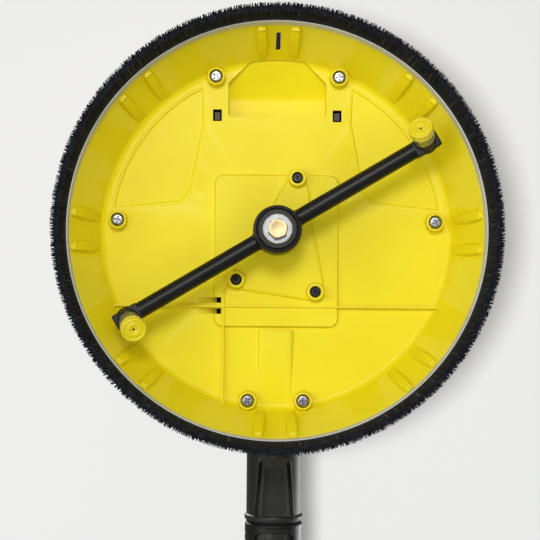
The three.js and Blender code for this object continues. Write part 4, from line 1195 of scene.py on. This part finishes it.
def makeGripPad():
    low, high = cadBox("grip_pad")
    plan = rectangle(low.x, high.x, low.y, high.y, 5)
    ring = cut(crown(-2.3, topRadius + 1.5), crown(-0.3, topRadius + 1.5))
    pad = common(ring, prism(plan, hoodTop + 4, hoodTop + 39))
    pad = softened(pad, 0.5, 3, 40)
    grooves = []
    for k in range(9):
        x = low.x + 6 + k * (high.x - low.x - 12) / 8
        groove = block(x - 0.5, x + 0.5, low.y + 3, high.y - 3, hoodTop + 4, hoodTop + 39)
        grooves.append(common(groove, cut(crown(-3.3, topRadius + 1.5), crown(-1.5, topRadius + 1.5))))
    return cut(pad, *grooves)


addFine("grip_pad", makeGripPad(), "head", rubberFinish)
print("cover made")


# ---- carried-over pieces ----

carried = {
    blackPlastic: ["rotor_housing", "housing_cap", "tube_plug"],
    steelFinish: ["bearing_lower", "bearing_upper", "bearing_spacer", "rotor_shaft", "neck_pipe",
                  "button_spring", "pressure_pipe"],
    brassFinish: ["trunnion_right", "trunnion_left", "feed_elbow"],
    rubberFinish: ["wall_plug", "shaft_seal", "trunnion_o_ring_right", "trunnion_o_ring_left", "feed_pipe",
                   "hub_o_ring_lower", "hub_o_ring_upper", "collar_ring", "inlet_o_ring"],
}
for finish, nodes in carried.items():
    for node in nodes:
        mesh = frame["nodes"][node].data
        mesh.materials.clear()
        mesh.materials.append(finish)
print("carried-over pieces finished")


# ---- stage, lights and camera ----

stageSize = {"half": 14.0, "backdrop": cadHigh.z + 0.035, "paper": linear(170, 170, 170), "glow": 0.27}


# Each sheet shows only its front, so that the part can be seen from above and from below.
def oneSided(name):
    finish = Finish(name)
    back = finish.node("ShaderNodeNewGeometry", output="Backfacing")
    glow = (stageSize["glow"],) * 3 + (1.0,)
    paper = finish.node("ShaderNodeBsdfPrincipled", None, {
        "Base Color": stageSize["paper"], "Roughness": 1.0, "Specular IOR Level": 0.0,
        "Emission Color": glow, "Emission Strength": 1.0,
    })
    clear = finish.node("ShaderNodeBsdfTransparent")
    finish.node_output(finish.node("ShaderNodeMixShader", None, {0: back, 1: paper, 2: clear}))
    return finish.material


def stageSheet(name, height, facing):
    half = stageSize["half"]
    corners = [(-half, -half, height), (half, -half, height), (half, half, height), (-half, half, height)]
    mesh = bpy.data.meshes.new(name)
    mesh.from_pydata(corners, [], [(0, 1, 2, 3) if facing > 0 else (3, 2, 1, 0)])
    mesh.materials.append(oneSided(name))
    sheet = bpy.data.objects.new(name, mesh)
    sheet.visible_shadow = sheet.visible_diffuse = sheet.visible_glossy = False
    bpy.context.scene.collection.objects.link(sheet)
    sheet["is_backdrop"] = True
    return sheet


stageSheet("floor", -0.0005, 1)
backdrop = stageSheet("backdrop", stageSize["backdrop"], -1)
offBackdrop = bpy.data.collections.new("off the backdrop")
offBackdrop.objects.link(backdrop)
offBackdrop.collection_objects[0].light_linking.link_state = "EXCLUDE"
onBackdrop = bpy.data.collections.new("on the backdrop")
onBackdrop.objects.link(backdrop)


def softLight(name, place, target, size, power, reaches=None, shines=True):
    data = bpy.data.lights.new(name, "AREA")
    data.shape, data.size, data.energy = "DISK", size, power
    lamp = bpy.data.objects.new(name, data)
    lamp.location = place
    lamp.rotation_mode = "QUATERNION"
    lamp.rotation_quaternion = (Vector(target) - Vector(place)).to_track_quat("-Z", "Y")
    lamp.visible_camera = False
    lamp.visible_glossy = shines
    bpy.context.scene.collection.objects.link(lamp)
    if reaches is not None:
        lamp.light_linking.receiver_collection = reaches


softLight("key below", (-0.10, -0.62, -1.9), (0, 0, 0.05), 0.45, 13, offBackdrop)
softLight("side below", (-1.3, -0.1, -1.3), (0, 0, 0.05), 1.2, 10, offBackdrop)
softLight("fill below", (0.1, 0.2, -1.7), (0, 0, 0.05), 2.4, 16, offBackdrop, shines=False)
softLight("paper light", (-0.24, 0.14, -1.9), (0, 0.05, 0.15), 0.33, 54, onBackdrop)
softLight("key above", (-1.2, -1.4, 2.2), (0, 0.1, 0.05), 1.2, 60)
softLight("fill above", (1.8, 0.8, 1.6), (0, 0.2, 0.05), 1.6, 40)

world = bpy.data.worlds.new("studio")
bpy.context.scene.world = world
world.use_nodes = True
world.node_tree.nodes["Background"].inputs["Color"].default_value = (1.0, 1.0, 1.0, 1.0)
world.node_tree.nodes["Background"].inputs["Strength"].default_value = 0.2

cameraSize = {
    "place": (-0.02163, 0.08907, -1.150), "tilt": (-0.05353, 0.01446), "roll": 0.00873, "lens": 119.66,
}


def addCamera():
    size = cameraSize
    data = bpy.data.cameras.new("camera")
    data.lens, data.sensor_width = size["lens"], 36
    camera = bpy.data.objects.new("camera", data)
    bpy.context.scene.collection.objects.link(camera)
    tiltX, tiltY = size["tilt"]
    ahead = Vector((math.sin(tiltY), math.cos(tiltY) * math.sin(tiltX), math.cos(tiltY) * math.cos(tiltX)))
    across = Vector((math.cos(tiltY), -math.sin(tiltY) * math.sin(tiltX), -math.sin(tiltY) * math.cos(tiltX)))
    down = Vector((0, math.cos(tiltX), -math.sin(tiltX)))
    c, s = math.cos(size["roll"]), math.sin(size["roll"])
    right, under = across * c - down * s, across * s + down * c
    turn = Matrix((right, -under, -ahead)).transposed()
    camera.matrix_world = Matrix.Translation(size["place"]) @ turn.to_4x4()
    bpy.context.scene.camera = camera


addCamera()
bpy.context.scene.view_settings.view_transform = "Standard"
print("stage, lights and camera placed")

low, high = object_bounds()
